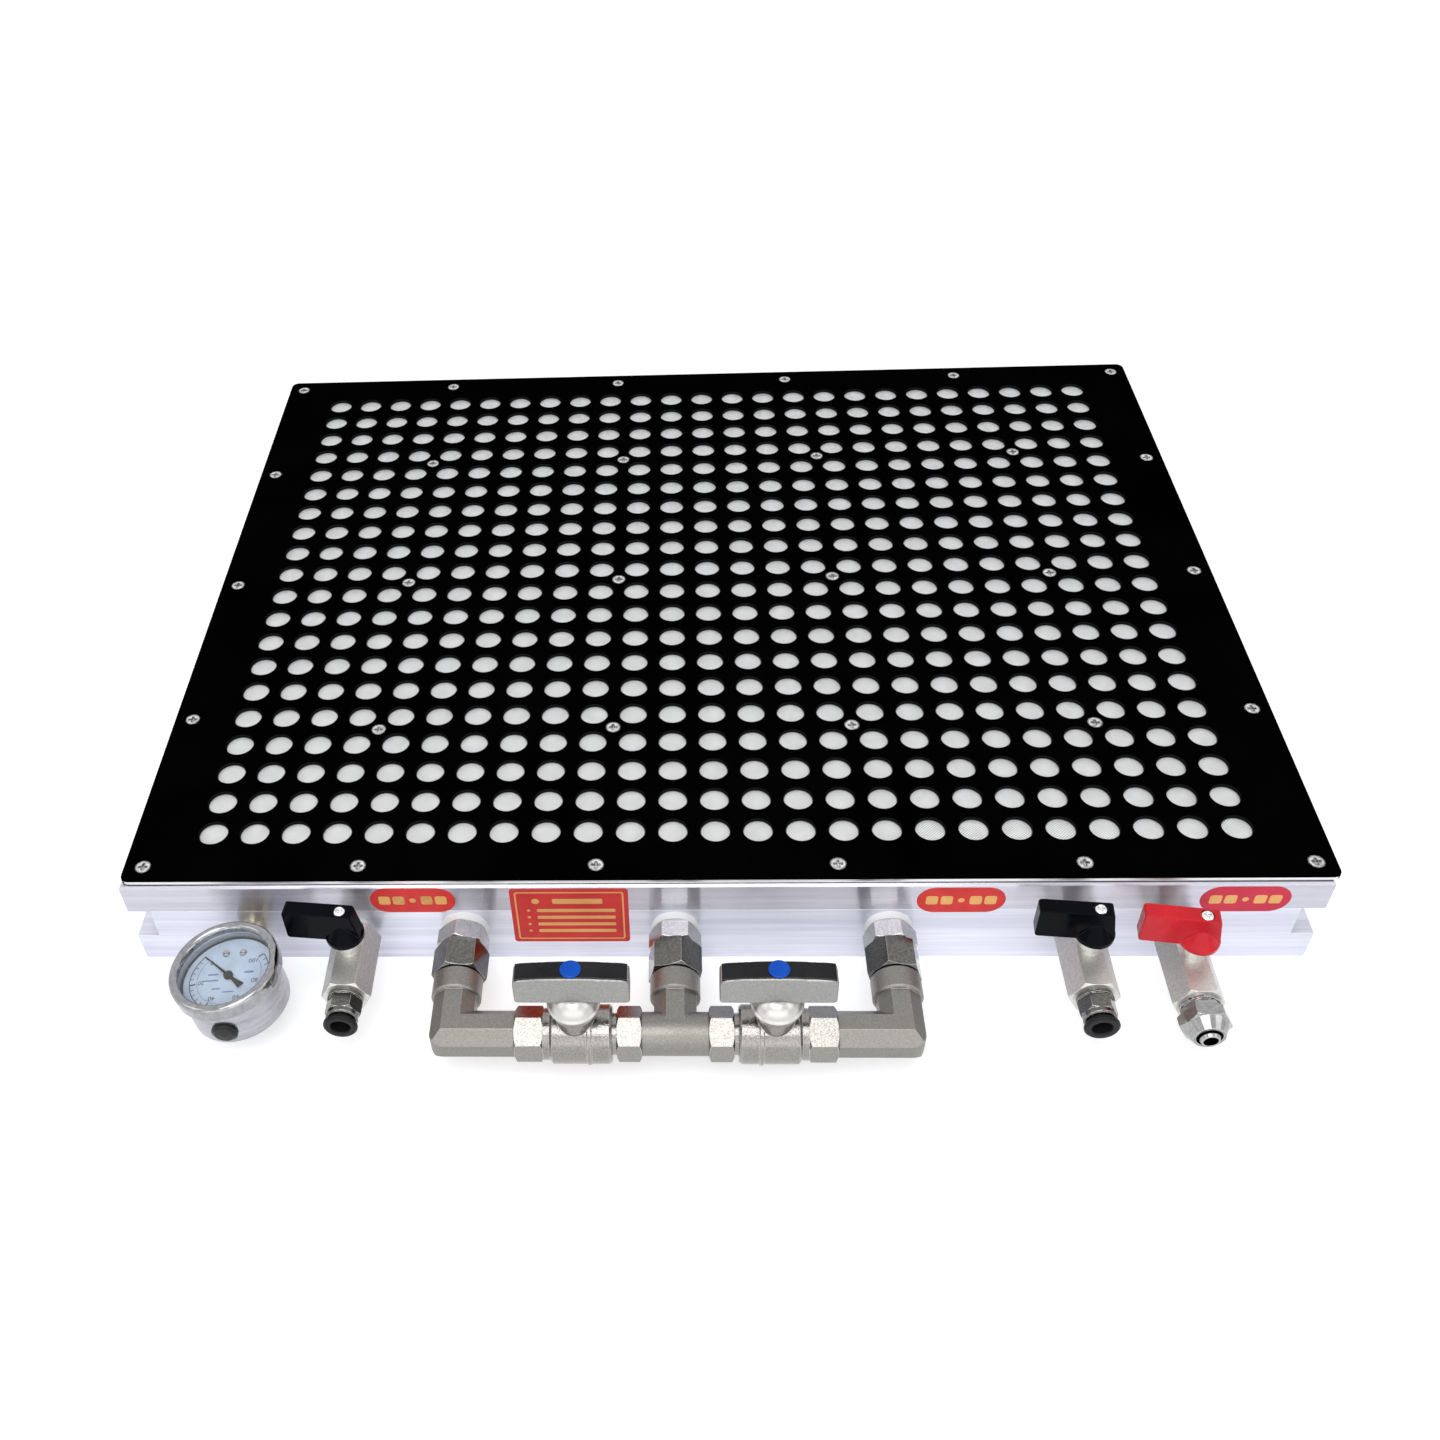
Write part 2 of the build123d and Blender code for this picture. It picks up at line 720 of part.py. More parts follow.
def t_inlay():
    half = t_blade_length / 2 - t_inlay_rim - running_gap
    slab = crown_slab(half, -t_inlay_depth, t_inlay_proud, t_blade_thickness / 2 - t_inlay_rim - running_gap)
    return slab - rod(t_cap_stem_radius + running_gap, t_blade_bottom, t_blade_top + 2)


def t_cap():
    seat = t_blade_top + t_inlay_proud
    return turned(
        (0, seat - t_cap_stem_length),
        (t_cap_stem_radius, seat - t_cap_stem_length),
        (t_cap_stem_radius, seat),
        (t_cap_radius, seat),
        (t_cap_radius, seat + t_cap_proud / 2),
        (t_cap_radius - 0.5, seat + t_cap_proud),
        (0, seat + t_cap_proud),
    )


def handle_screw(head_radius, shank_radius, seat, head_height, bottom):
    part = turned(
        (0, bottom),
        (shank_radius, bottom),
        (shank_radius, seat),
        (head_radius, seat),
        (head_radius, seat + head_height * 0.6),
        (head_radius * 0.7, seat + head_height),
        (0, seat + head_height),
    )
    return part - cross_recess(head_radius * 0.6, seat + head_height, head_height * 0.6)


def build_t_valves():
    flow = Rot(0, 90, 0)
    ends = []
    for name, x, side in (("left", t_valve_x[0], 1), ("right", t_valve_x[1], -1)):
        here = Pos(x, run_y, port_height)
        tap = wing_screw_shank + thread_gap
        nodes[f"t_valve_body_{name}"] = here * t_body(side)
        ends += (here * t_end(side)).solids()
        slot_floor = t_collar_low - tang_depth - running_gap
        valve_ball = ball(t_ball_radius, t_bore_radius, t_tang_width, slot_floor, flow)
        nodes[f"t_valve_ball_{name}"] = here * valve_ball
        nodes[f"t_valve_stem_{name}"] = here * stem(
            t_stem_radius, t_collar_radius, t_collar_low, t_collar_height,
            t_stem_square, t_hub_bottom - running_gap, t_stem_top, t_tang_width, tap,
        )
        nodes[f"t_handle_{name}"] = here * t_handle()
        nodes[f"t_handle_inlay_{name}"] = here * t_inlay()
        nodes[f"t_handle_cap_{name}"] = here * t_cap()
        bottom = t_stem_top - t_screw_reach
        screw = handle_screw(t_screw_head_radius, wing_screw_shank, t_screw_seat, t_screw_head_height, bottom)
        nodes[f"t_handle_screw_{name}"] = here * screw
    nodes["t_valve_ends"] = Compound(ends)


# Mini valve: the pivot's centre is its origin, and its flow runs out of the front face
def mini_body(standoff):
    back = -mini_pivot_place
    front = back + mini_length
    shell = hexagon(mini_hex_flats, back, front)
    shell += rod(medium_thread_radius - thread_gap, back - standoff - thread_reach + 2, back + 1)
    hollow = rod(mini_bore_radius, back - standoff - thread_reach, 0)
    hollow += rod(mini_cavity_radius, -mini_seat_back, front)
    hollow += rod(medium_thread_radius, mini_seat_back + mini_insert_length, front + 1)
    part = outward(shell) + rod(mini_boss_radius, 0, mini_boss_height) - outward(hollow)
    pocket, ceiling = stem_pocket(mini_collar_radius, mini_collar_low, mini_collar_height, mini_seal_height)
    return part - pocket - rod(mini_stem_radius + running_gap, ceiling - 1, mini_boss_height + 1)


def wing_handle():
    outline = Sketch() + make_face(Polyline(
        (-wing_length, wing_bottom),
        (wing_heel_foot, wing_bottom),
        (wing_heel_foot, hub_bottom + hub_rim),
        (wing_heel_top, wing_top),
        (-wing_length, wing_top),
        close=True,
    ))
    outline = fillet(outline.vertices(), wing_corner)
    wing = extrude(Plane.XZ * outline, amount=wing_thickness / 2, both=True)
    wing = fillet(wing.faces().filter_by(Axis.Y).edges(), 0.4)
    wing += turned(
        (0, hub_bottom),
        (hub_radius - 0.4, hub_bottom),
        (hub_radius, hub_bottom + 0.4),
        (hub_radius, hub_bottom + hub_rim),
        (wing_thickness / 2, hub_cone_top),
        (0, hub_cone_top),
    )
    hole = mini_stem_square + 2 * running_gap
    wing -= bar(hole, hole, hub_bottom - 1, mini_stem_top + running_gap)
    wing -= rod(wing_screw_shank + 0.15, mini_stem_top - 1, wing_top)
    return wing - rod(wing_screw_head_radius + 0.25, wing_top - wing_screw_sink, wing_top + 1)


def mini_pivot(i):
    out = mini_valve_standoff[i] + mini_pivot_place
    return Pos(mini_valve_x[i], face_y - out, port_height)


def build_mini_valves():
    shut = Rot(0, 90, 0)
    inserts = []
    insert_end = mini_seat_back + mini_insert_length
    insert = outward(ring(mini_bore_radius, mini_cavity_radius - thread_gap, mini_seat_back, insert_end))
    for i, name in enumerate(("left", "right", "vacuum")):
        here = mini_pivot(i)
        inserts += (here * insert).solids()
        nodes[f"mini_valve_body_{name}"] = here * mini_body(mini_valve_standoff[i])
        slot_floor = mini_collar_low - tang_depth - running_gap
        valve_ball = ball(mini_ball_radius, mini_bore_radius, mini_tang_width, slot_floor, shut)
        rest = here * Rot(0, 0, wing_turns[i])
        nodes[f"mini_valve_ball_{name}"] = rest * valve_ball
        nodes[f"mini_valve_stem_{name}"] = rest * stem(
            mini_stem_radius, mini_collar_radius, mini_collar_low, mini_collar_height,
            mini_stem_square, hub_bottom - 0.5, mini_stem_top, mini_tang_width,
            wing_screw_shank + thread_gap,
        )
        nodes[f"wing_handle_{name}"] = rest * wing_handle()
        seat = wing_top - wing_screw_sink
        bottom = mini_stem_top - wing_screw_reach
        screw = handle_screw(wing_screw_head_radius, wing_screw_shank, seat, wing_screw_head_height, bottom)
        nodes[f"wing_handle_screw_{name}"] = rest * screw
    nodes["mini_valve_inserts"] = Compound(inserts)


# Soft rings: ball seats and stem seals of all the valves
def build_valve_seals():
    rings = []
    for x in t_valve_x:
        outer = t_bore_radius + t_seat_width
        pair = seats(t_ball_radius, t_bore_radius, outer, t_seat_back, t_seat_length, Rot(0, 90, 0))
        seal_low = t_collar_low + t_collar_height + running_gap
        seal = ring(t_stem_radius + running_gap, t_collar_radius, seal_low, seal_low + t_seal_height)
        rings += [Pos(x, run_y, port_height) * shape for shape in (*pair, seal)]
    for i in range(len(mini_valve_x)):
        outer = mini_cavity_radius - running_gap
        flow = Rot(90, 0, 0)
        pair = seats(mini_ball_radius, mini_bore_radius, outer, mini_seat_back, mini_seat_length, flow)
        seal_low = mini_collar_low + mini_collar_height + running_gap
        seal = ring(mini_stem_radius + running_gap, mini_collar_radius, seal_low, seal_low + mini_seal_height)
        rings += [mini_pivot(i) * shape for shape in (*pair, seal)]
    nodes["valve_seals"] = Compound([solid for shape in rings for solid in shape.solids()])


# Push-in fitting: the release ring slides in its mouth
def mini_front(i):
    return mini_valve_standoff[i] + mini_length


def push_fitting():
    hex_end = push_flange_length + push_hex_length
    end = hex_end + push_neck_length
    sleeve = tube_radius + sleeve_wall + running_gap
    groove = end - sleeve_length - 2.2
    part = rod(medium_thread_radius - thread_gap, -push_thread_reach, 1)
    part += rod(push_flange_radius, 0, push_flange_length)
    part += hexagon(push_hex_flats, push_flange_length, hex_end)
    part += rod(push_neck_radius, hex_end, end)
    part = chamfer(part.edges().group_by(Axis.Z)[-1], push_neck_chamfer)
    part -= rod(mini_bore_radius, -push_thread_reach - 1, end)
    part -= rod(tube_radius + running_gap, push_flange_length, end)
    part -= rod(tube_radius + 2 * o_ring_section + 0.1, groove, groove + 2)
    return part - rod(sleeve, groove + 2, end + 1)


def release_ring():
    end = push_flange_length + push_hex_length + push_neck_length
    flange = end + release_gap
    tip = flange + release_flange_length
    outer = tube_radius + sleeve_wall
    return turned(
        (tube_radius, end - sleeve_length + release_gap),
        (outer, end - sleeve_length + release_gap),
        (outer, flange),
        (release_flange_radius - 0.4, flange),
        (release_flange_radius, flange + 0.4),
        (release_flange_radius, tip - 0.7),
        (release_flange_radius - 0.7, tip),
        (tube_radius + 0.5, tip),
        (tube_radius, tip - 0.5),
    )


def build_fittings():
    end = push_flange_length + push_hex_length + push_neck_length
    groove = end - sleeve_length - 2.2
    middle = tube_radius + o_ring_section + 0.06
    o_ring = Pos(0, 0, groove + 1) * Torus(middle, o_ring_section)
    seals = []
    for i, name in ((0, "left"), (1, "right")):
        nodes[f"push_fitting_{name}"] = at_port(mini_valve_x[i], outward(push_fitting()), mini_front(i))
        nodes[f"release_ring_{name}"] = at_port(mini_valve_x[i], outward(release_ring()), mini_front(i))
        seals += at_port(mini_valve_x[i], outward(o_ring), mini_front(i)).solids()
    nodes["tube_seals"] = Compound(seals)
    nodes["hose_spigot"] = at_port(mini_valve_x[2], outward(hose_spigot()), mini_front(2))
    nodes["hose_nut"] = at_port(mini_valve_x[2], outward(hose_nut()), mini_front(2))


def hose_spigot():
    hex_end = push_flange_length + hose_hex_length
    thread_end = hex_end + 4.0
    part = rod(medium_thread_radius - thread_gap, -push_thread_reach, 1)
    part += rod(push_flange_radius + 0.6, 0, push_flange_length)
    part += hexagon(hose_hex_flats, push_flange_length, hex_end)
    part += rod(hose_thread_radius, hex_end, thread_end)
    part += turned(
        (0, thread_end),
        (hose_tube_radius, thread_end),
        (hose_tube_radius, hose_tube_length - 1.2),
        (hose_tube_radius - 0.5, hose_tube_length),
        (0, hose_tube_length),
    )
    return part - rod(hose_bore_radius, -push_thread_reach - 1, hose_tube_length + 1)


def hose_nut():
    start = push_flange_length + hose_hex_length + 0.1
    hex_end = start + hose_nut_hex_length
    end = hex_end + hose_nut_cone_length
    part = hexagon(hose_nut_flats, start, hex_end)
    cone_foot = hose_nut_flats / 2
    part += turned(
        (0, hex_end - 1),
        (cone_foot, hex_end - 1),
        (cone_foot, hex_end),
        (hose_nut_nose_radius, end),
        (0, end),
    )
    part -= rod(hose_thread_radius + thread_gap, start - 1, start + 4.4)
    return part - rod(hose_nut_mouth_radius, start, end + 1)


# Vacuum gauge: its origin is where the stem's axis meets the dial's axis
def gauge_case():
    inner = gauge_case_radius - gauge_case_wall
    low = -gauge_case_below
    top = gauge_case_above
    case = turned(
        (0, low),
        (gauge_case_radius - 1.2, low),
        (gauge_case_radius, low + 1.2),
        (gauge_case_radius, top - gauge_rim_height),
        (gauge_case_radius + gauge_rim_width, top - gauge_rim_height),
        (gauge_case_radius + gauge_rim_width, top),
        (inner, top),
        (inner, low + gauge_case_wall),
        (0, low + gauge_case_wall),
    )
    case -= Rot(-90, 0, 0) * rod(socket_neck_radius + running_gap, inner - 3, gauge_case_radius + 3)
    return case - Rot(90, 0, 0) * rod(fill_plug_stem_radius + running_gap, inner - 3, gauge_case_radius + 3)


def gauge_bezel():
    rim = gauge_case_radius + gauge_rim_width + running_gap
    rim_low = gauge_case_above - gauge_rim_height - running_gap
    low = rim_low - 1.0
    seat = bezel_top - 1.6
    inner = lens_radius + running_gap
    case = gauge_case_radius + running_gap
    rim_top = gauge_case_above + running_gap
    shoulder = (bezel_radius, seat - 0.6)
    lip = (bezel_lip_radius, seat + 0.5)
    walls = Polyline(
        shoulder,
        (bezel_radius, low + 1.0),
        (bezel_radius - 1.0, low),
        (case, low),
        (case, rim_low),
        (rim, rim_low),
        (rim, rim_top),
        (inner, rim_top),
        (inner, seat),
        (bezel_lip_radius, seat),
        lip,
    )
    dome = ThreePointArc(lip, (bezel_lip_radius + 2.2, bezel_top), shoulder)
    return revolve(Plane.XZ * make_face([*walls.edges(), dome]), Axis.Z)


def gauge_lens():
    top = bezel_top - 1.6
    return rod(lens_radius, top - lens_thickness, top)


def gauge_dial():
    dial = rod(dial_radius, dial_height, dial_height + dial_thickness)
    return dial - rod(arbor_radius + 0.5, dial_height - 1, dial_height + 2)


def gauge_movement():
    inner = gauge_case_radius - gauge_case_wall
    reach = gauge_reach
    socket = rod(socket_neck_radius, inner - 4, gauge_case_radius + 0.6)
    square = RegularPolygon(wrench_flats / 2, 4, major_radius=False, rotation=45)
    flats = extrude(square, amount=reach - gauge_case_radius - 3)
    socket += Pos(0, 0, gauge_case_radius + 0.5) * flats
    socket += rod(small_thread_radius - thread_gap, gauge_case_radius + 1, reach + thread_reach - 3)
    socket -= rod(1.5, inner - 1, reach + thread_reach)
    part = Rot(-90, 0, 0) * socket
    block_front = dial_screw_place - 1.8 * pillar_radius
    block_back = inner - 2
    block_width = dial_screw_spacing + 3.6 * pillar_radius
    block = bar(block_width, block_back - block_front, 0.5 - movement_top, movement_top)
    part += Pos(0, (block_back + block_front) / 2, 0) * block
    pillar = rod(pillar_radius, movement_top - 1, dial_height)
    part += [Pos(side * dial_screw_spacing / 2, dial_screw_place) * pillar for side in (-1, 1)]
    plate_back = dial_screw_place + pillar_radius
    plate_front = -0.3 * dial_screw_place
    plate = bar(block_width, plate_back - plate_front, 0, movement_plate_thickness)
    for low in (-0.6 * movement_top, 0.7 * movement_top):
        part += Pos(0, (plate_back + plate_front) / 2, low) * plate
    section = Pos(bourdon_radius, 0, 0) * Rot(90, 0, 0) * RectangleRounded(bourdon_width, bourdon_height, 1.1)
    tube = Rot(0, 0, 80) * revolve(section, Axis.Z, -bourdon_sweep)
    part += tube
    return part - rod(arbor_radius + running_gap, 1 - movement_top, movement_top)


def gauge_needle():
    low = dial_height + dial_thickness + needle_lift
    outline = Polyline(
        (needle_length, 0.12),
        (-needle_tail * 0.45, 0.75),
        (-needle_tail, 1.5),
        (-needle_tail, -1.5),
        (-needle_tail * 0.45, -0.75),
        (needle_length, -0.12),
        close=True,
    )
    pointer = Pos(0, 0, low) * extrude(make_face(outline), amount=needle_thickness)
    needle = pointer + rod(needle_hub_radius, low - 0.2, low + needle_thickness + 0.5)
    needle += rod(arbor_radius, -2.5, low)
    return Rot(0, 0, needle_angle) * needle


def gauge_fill_plug():
    plug = turned(
        (0, gauge_case_radius - gauge_case_wall - 1.2),
        (fill_plug_stem_radius, gauge_case_radius - gauge_case_wall - 1.2),
        (fill_plug_stem_radius, gauge_case_radius - 1),
        (fill_plug_radius, gauge_case_radius - 1),
        (fill_plug_radius, gauge_case_radius + 0.9),
        (fill_plug_radius - 1.4, gauge_case_radius + 1.8),
        (0, gauge_case_radius + 2.1),
    )
    case_height = gauge_case_below + gauge_case_above
    shell = Cylinder(gauge_case_radius, 2 * case_height)
    shell -= Rot(90, 0, 0) * rod(fill_plug_stem_radius, 0, gauge_case_radius + 1)
    return Rot(90, 0, 0) * plug - shell


def build_gauge():
    here = Pos(gauge_x, face_y - gauge_reach, port_height) * Rot(0, gauge_lean, 0)
    nodes["gauge_case"] = here * gauge_case()
    nodes["gauge_bezel"] = here * gauge_bezel()
    nodes["gauge_lens"] = here * gauge_lens()
    nodes["gauge_dial"] = here * gauge_dial()
    nodes["gauge_movement"] = here * gauge_movement()
    nodes["gauge_fill_plug"] = here * gauge_fill_plug()
    nodes["gauge_needle"] = here * gauge_needle()


build_table()
build_unions()
build_legs()
build_t_valves()
build_mini_valves()
build_valve_seals()
build_fittings()
build_gauge()
os.makedirs("parts", exist_ok=True)
for name, shape in nodes.items():
    export_step(shape, f"parts/{name}.step")
print(len(nodes), "nodes written")
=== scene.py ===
import math

import bmesh
import bpy
from mathutils import Matrix, Vector


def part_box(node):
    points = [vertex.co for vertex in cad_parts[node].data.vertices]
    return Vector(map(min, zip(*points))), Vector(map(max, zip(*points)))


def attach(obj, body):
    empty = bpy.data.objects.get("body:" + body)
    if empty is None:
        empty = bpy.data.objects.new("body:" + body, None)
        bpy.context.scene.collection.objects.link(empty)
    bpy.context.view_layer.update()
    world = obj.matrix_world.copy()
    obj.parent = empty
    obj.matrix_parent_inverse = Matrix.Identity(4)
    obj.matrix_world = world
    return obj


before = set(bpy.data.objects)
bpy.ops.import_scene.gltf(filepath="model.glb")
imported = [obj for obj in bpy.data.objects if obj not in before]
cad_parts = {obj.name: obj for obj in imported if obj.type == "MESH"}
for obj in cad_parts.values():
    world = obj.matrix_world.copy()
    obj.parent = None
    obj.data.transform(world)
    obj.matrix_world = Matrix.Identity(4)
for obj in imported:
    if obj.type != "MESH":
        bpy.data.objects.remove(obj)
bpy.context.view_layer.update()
bodyName = "chuck"
mm = 0.001
print("frame loaded:", len(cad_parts), "nodes")

# Camera, as the picture was taken: above the front edge, a little left of the middle
cameraSet = {
    "place": (-0.01377, -0.58358, 0.51121),
    "right": (0.99838, 0.03328, -0.04624),
    "up": (0.01026, 0.69336, 0.72052),
    "back": (0.05604, -0.71982, 0.69189),
    "lens": 36.375,
    "sensor": 36.0,
    "shiftX": 0.08333,
    "nearest": 0.01,
}


def makeCamera():
    data = bpy.data.cameras.new("camera")
    data.sensor_width = cameraSet["sensor"]
    data.lens = cameraSet["lens"]
    data.shift_x = cameraSet["shiftX"]
    data.clip_start = cameraSet["nearest"]
    camera = bpy.data.objects.new("camera", data)
    bpy.context.scene.collection.objects.link(camera)
    turn = Matrix((cameraSet["right"], cameraSet["up"], cameraSet["back"])).transposed()
    camera.matrix_world = Matrix.Translation(cameraSet["place"]) @ turn.to_4x4()
    bpy.context.scene.camera = camera


makeCamera()
print("camera placed")


# Nodes in a shader tree, and the links between them
def put(tree, kind, sockets=None, **settings):
    node = tree.nodes.new(kind)
    for name, value in settings.items():
        setattr(node, name, value)
    for name, value in (sockets or {}).items():
        node.inputs[name].default_value = value
    return node


def join(tree, source, target):
    tree.links.new(source, target)


def colour(value):
    return (*value, 1.0)


def newGroup(name, inputs, outputs):
    tree = bpy.data.node_groups.new(name, "ShaderNodeTree")
    for label, kind, value in inputs:
        socket = tree.interface.new_socket(name=label, in_out="INPUT", socket_type=kind)
        socket.default_value = value
    for label, kind in outputs:
        tree.interface.new_socket(name=label, in_out="OUTPUT", socket_type=kind)
    return tree, tree.nodes.new("NodeGroupInput"), tree.nodes.new("NodeGroupOutput")


def useGroup(tree, group, values=None):
    node = tree.nodes.new("ShaderNodeGroup")
    node.node_tree = group
    for name, value in (values or {}).items():
        node.inputs[name].default_value = value
    return node


def mapped(tree, source, low, high, fromLow=0.0, fromHigh=1.0):
    node = put(tree, "ShaderNodeMapRange")
    node.inputs["From Min"].default_value = fromLow
    node.inputs["From Max"].default_value = fromHigh
    node.inputs["To Min"].default_value = low
    node.inputs["To Max"].default_value = high
    join(tree, source, node.inputs["Value"])
    return node.outputs["Result"]


def mixed(tree, factor, low, high):
    node = put(tree, "ShaderNodeMix", data_type="RGBA")
    join(tree, factor, node.inputs[0])
    for socket, value in ((node.inputs[6], low), (node.inputs[7], high)):
        if isinstance(value, tuple):
            socket.default_value = colour(value)
        else:
            join(tree, value, socket)
    return node.outputs[2]


def maths(tree, operation, first, second):
    node = put(tree, "ShaderNodeMath", operation=operation)
    for socket, value in ((node.inputs[0], first), (node.inputs[1], second)):
        if isinstance(value, (int, float)):
            socket.default_value = value
        else:
            join(tree, value, socket)
    return node.outputs[0]


# Fine straight tool lines, drawn out along one direction. Here and below, a "from" pair is the part of
# the noise that is spread over the whole range.
toolSet = {
    "fine": {"Detail": 4.0, "Roughness": 0.65},
    "broad": {"Detail": 1.0},
    "broadShare": 0.18,
    "from": (0.75, 1.25),
}


def makeToolLines():
    tree, given, out = newGroup(
        "toolLines",
        [("Stretch", "NodeSocketVector", (1, 1, 1)), ("Scale", "NodeSocketFloat", 400.0)],
        [("Tone", "NodeSocketFloat"), ("Height", "NodeSocketFloat")],
    )
    place = put(tree, "ShaderNodeTexCoord")
    drawn = put(tree, "ShaderNodeVectorMath", operation="MULTIPLY")
    join(tree, place.outputs["Object"], drawn.inputs[0])
    join(tree, given.outputs["Stretch"], drawn.inputs[1])
    fine = put(tree, "ShaderNodeTexNoise", toolSet["fine"])
    broad = put(tree, "ShaderNodeTexNoise", toolSet["broad"])
    join(tree, drawn.outputs[0], fine.inputs["Vector"])
    join(tree, drawn.outputs[0], broad.inputs["Vector"])
    join(tree, given.outputs["Scale"], fine.inputs["Scale"])
    join(tree, maths(tree, "MULTIPLY", given.outputs["Scale"], toolSet["broadShare"]), broad.inputs["Scale"])
    both = maths(tree, "ADD", fine.outputs["Fac"], broad.outputs["Fac"])
    join(tree, mapped(tree, both, 0.0, 1.0, *toolSet["from"]), out.inputs["Tone"])
    join(tree, fine.outputs["Fac"], out.inputs["Height"])
    return tree


# The pitted skin of a casting, or the fine dimples under plating
skinSet = {
    "grain": {"Detail": 5.0, "Roughness": 0.6},
    "pitsFrom": (0.1, 0.5),
    "toneFrom": (0.32, 0.68),
    "fleckFrom": (0.60, 0.66),
}


def makeCastSkin():
    tree, given, out = newGroup(
        "castSkin",
        [("Scale", "NodeSocketFloat", 900.0), ("Pits", "NodeSocketFloat", 0.5)],
        [("Tone", "NodeSocketFloat"), ("Height", "NodeSocketFloat"), ("Fleck", "NodeSocketFloat")],
    )
    place = put(tree, "ShaderNodeTexCoord")
    grain = put(tree, "ShaderNodeTexNoise", skinSet["grain"])
    pits = put(tree, "ShaderNodeTexVoronoi", feature="F1")
    for node in (grain, pits):
        join(tree, place.outputs["Object"], node.inputs["Vector"])
        join(tree, given.outputs["Scale"], node.inputs["Scale"])
    depth = mapped(tree, pits.outputs["Distance"], 0.0, 1.0, *skinSet["pitsFrom"])
    pitted = maths(tree, "MULTIPLY", depth, given.outputs["Pits"])
    join(tree, mapped(tree, grain.outputs["Fac"], 0.0, 1.0, *skinSet["toneFrom"]), out.inputs["Tone"])
    join(tree, maths(tree, "ADD", grain.outputs["Fac"], pitted), out.inputs["Height"])
    join(tree, mapped(tree, grain.outputs["Fac"], 0.0, 1.0, *skinSet["fleckFrom"]), out.inputs["Fleck"])
    return tree


# Soft clouds left by handling and wiping
cloudSet = {
    "noise": {"Detail": 3.0, "Distortion": 0.6},
    "from": (0.3, 0.7),
}


def makeHandling():
    tree, given, out = newGroup(
        "handling",
        [("Scale", "NodeSocketFloat", 40.0)],
        [("Cloud", "NodeSocketFloat")],
    )
    place = put(tree, "ShaderNodeTexCoord")
    cloud = put(tree, "ShaderNodeTexNoise", cloudSet["noise"])
    join(tree, place.outputs["Object"], cloud.inputs["Vector"])
    join(tree, given.outputs["Scale"], cloud.inputs["Scale"])
    join(tree, mapped(tree, cloud.outputs["Fac"], 0.0, 1.0, *cloudSet["from"]), out.inputs["Cloud"])
    return tree


# Rounded edges, and where they are
edgeSet = {
    "samples": 4,
    "from": (0.75, 0.98),
}


def makeEdges():
    tree, given, out = newGroup(
        "roundedEdges",
        [("Width", "NodeSocketFloat", 0.0003)],
        [("Edge", "NodeSocketFloat"), ("Normal", "NodeSocketVector")],
    )
    soft = put(tree, "ShaderNodeBevel", samples=edgeSet["samples"])
    join(tree, given.outputs["Width"], soft.inputs["Radius"])
    flat = put(tree, "ShaderNodeNewGeometry")
    facing = put(tree, "ShaderNodeVectorMath", operation="DOT_PRODUCT")
    join(tree, soft.outputs["Normal"], facing.inputs[0])
    join(tree, flat.outputs["Normal"], facing.inputs[1])
    join(tree, mapped(tree, facing.outputs["Value"], 1.0, 0.0, *edgeSet["from"]), out.inputs["Edge"])
    join(tree, soft.outputs["Normal"], out.inputs["Normal"])
    return tree


# Plain woven wire, higher and brighter at each crossing
weaveSet = {
    "wireFrom": (-0.85, -0.05),
    "heightFrom": (-1.0, 1.0),
}


def makeWeave():
    tree, given, out = newGroup(
        "wireWeave",
        [("Pitch", "NodeSocketFloat", 0.001)],
        [("Wire", "NodeSocketFloat"), ("Height", "NodeSocketFloat")],
    )
    place = put(tree, "ShaderNodeTexCoord")
    split = put(tree, "ShaderNodeSeparateXYZ")
    join(tree, place.outputs["Object"], split.inputs[0])
    rate = maths(tree, "DIVIDE", 2 * math.pi, given.outputs["Pitch"])
    waves = []
    for axis in ("X", "Y"):
        turn = maths(tree, "MULTIPLY", split.outputs[axis], rate)
        waves.append(put(tree, "ShaderNodeMath", operation="SINE"))
        join(tree, turn, waves[-1].inputs[0])
    crossing = maths(tree, "MULTIPLY", waves[0].outputs[0], waves[1].outputs[0])
    join(tree, mapped(tree, crossing, 0.0, 1.0, *weaveSet["wireFrom"]), out.inputs["Wire"])
    join(tree, mapped(tree, crossing, 0.0, 1.0, *weaveSet["heightFrom"]), out.inputs["Height"])
    return tree


# How far a place is from the middle of the nearest hole of the square grid
def makeHoleRim():
    tree, given, out = newGroup(
        "holeRim",
        [("Pitch", "NodeSocketFloat", 0.018)],
        [("Reach", "NodeSocketFloat")],
    )
    place = put(tree, "ShaderNodeTexCoord")
    split = put(tree, "ShaderNodeSeparateXYZ")
    join(tree, place.outputs["Object"], split.inputs[0])
    half = maths(tree, "MULTIPLY", given.outputs["Pitch"], 0.5)
    across = put(tree, "ShaderNodeMath", operation="PINGPONG")
    along = put(tree, "ShaderNodeMath", operation="PINGPONG")
    join(tree, split.outputs["X"], across.inputs[0])
    join(tree, maths(tree, "ADD", split.outputs["Y"], half), along.inputs[0])
    both = put(tree, "ShaderNodeCombineXYZ")
    for node, socket in ((across, "X"), (along, "Y")):
        join(tree, half, node.inputs[1])
        join(tree, node.outputs[0], both.inputs[socket])
    reach = put(tree, "ShaderNodeVectorMath", operation="LENGTH")
    join(tree, both.outputs[0], reach.inputs[0])
    join(tree, reach.outputs["Value"], out.inputs["Reach"])
    return tree


toolLines = makeToolLines()
castSkin = makeCastSkin()
handling = makeHandling()
roundedEdges = makeEdges()
wireWeave = makeWeave()
holeRim = makeHoleRim()


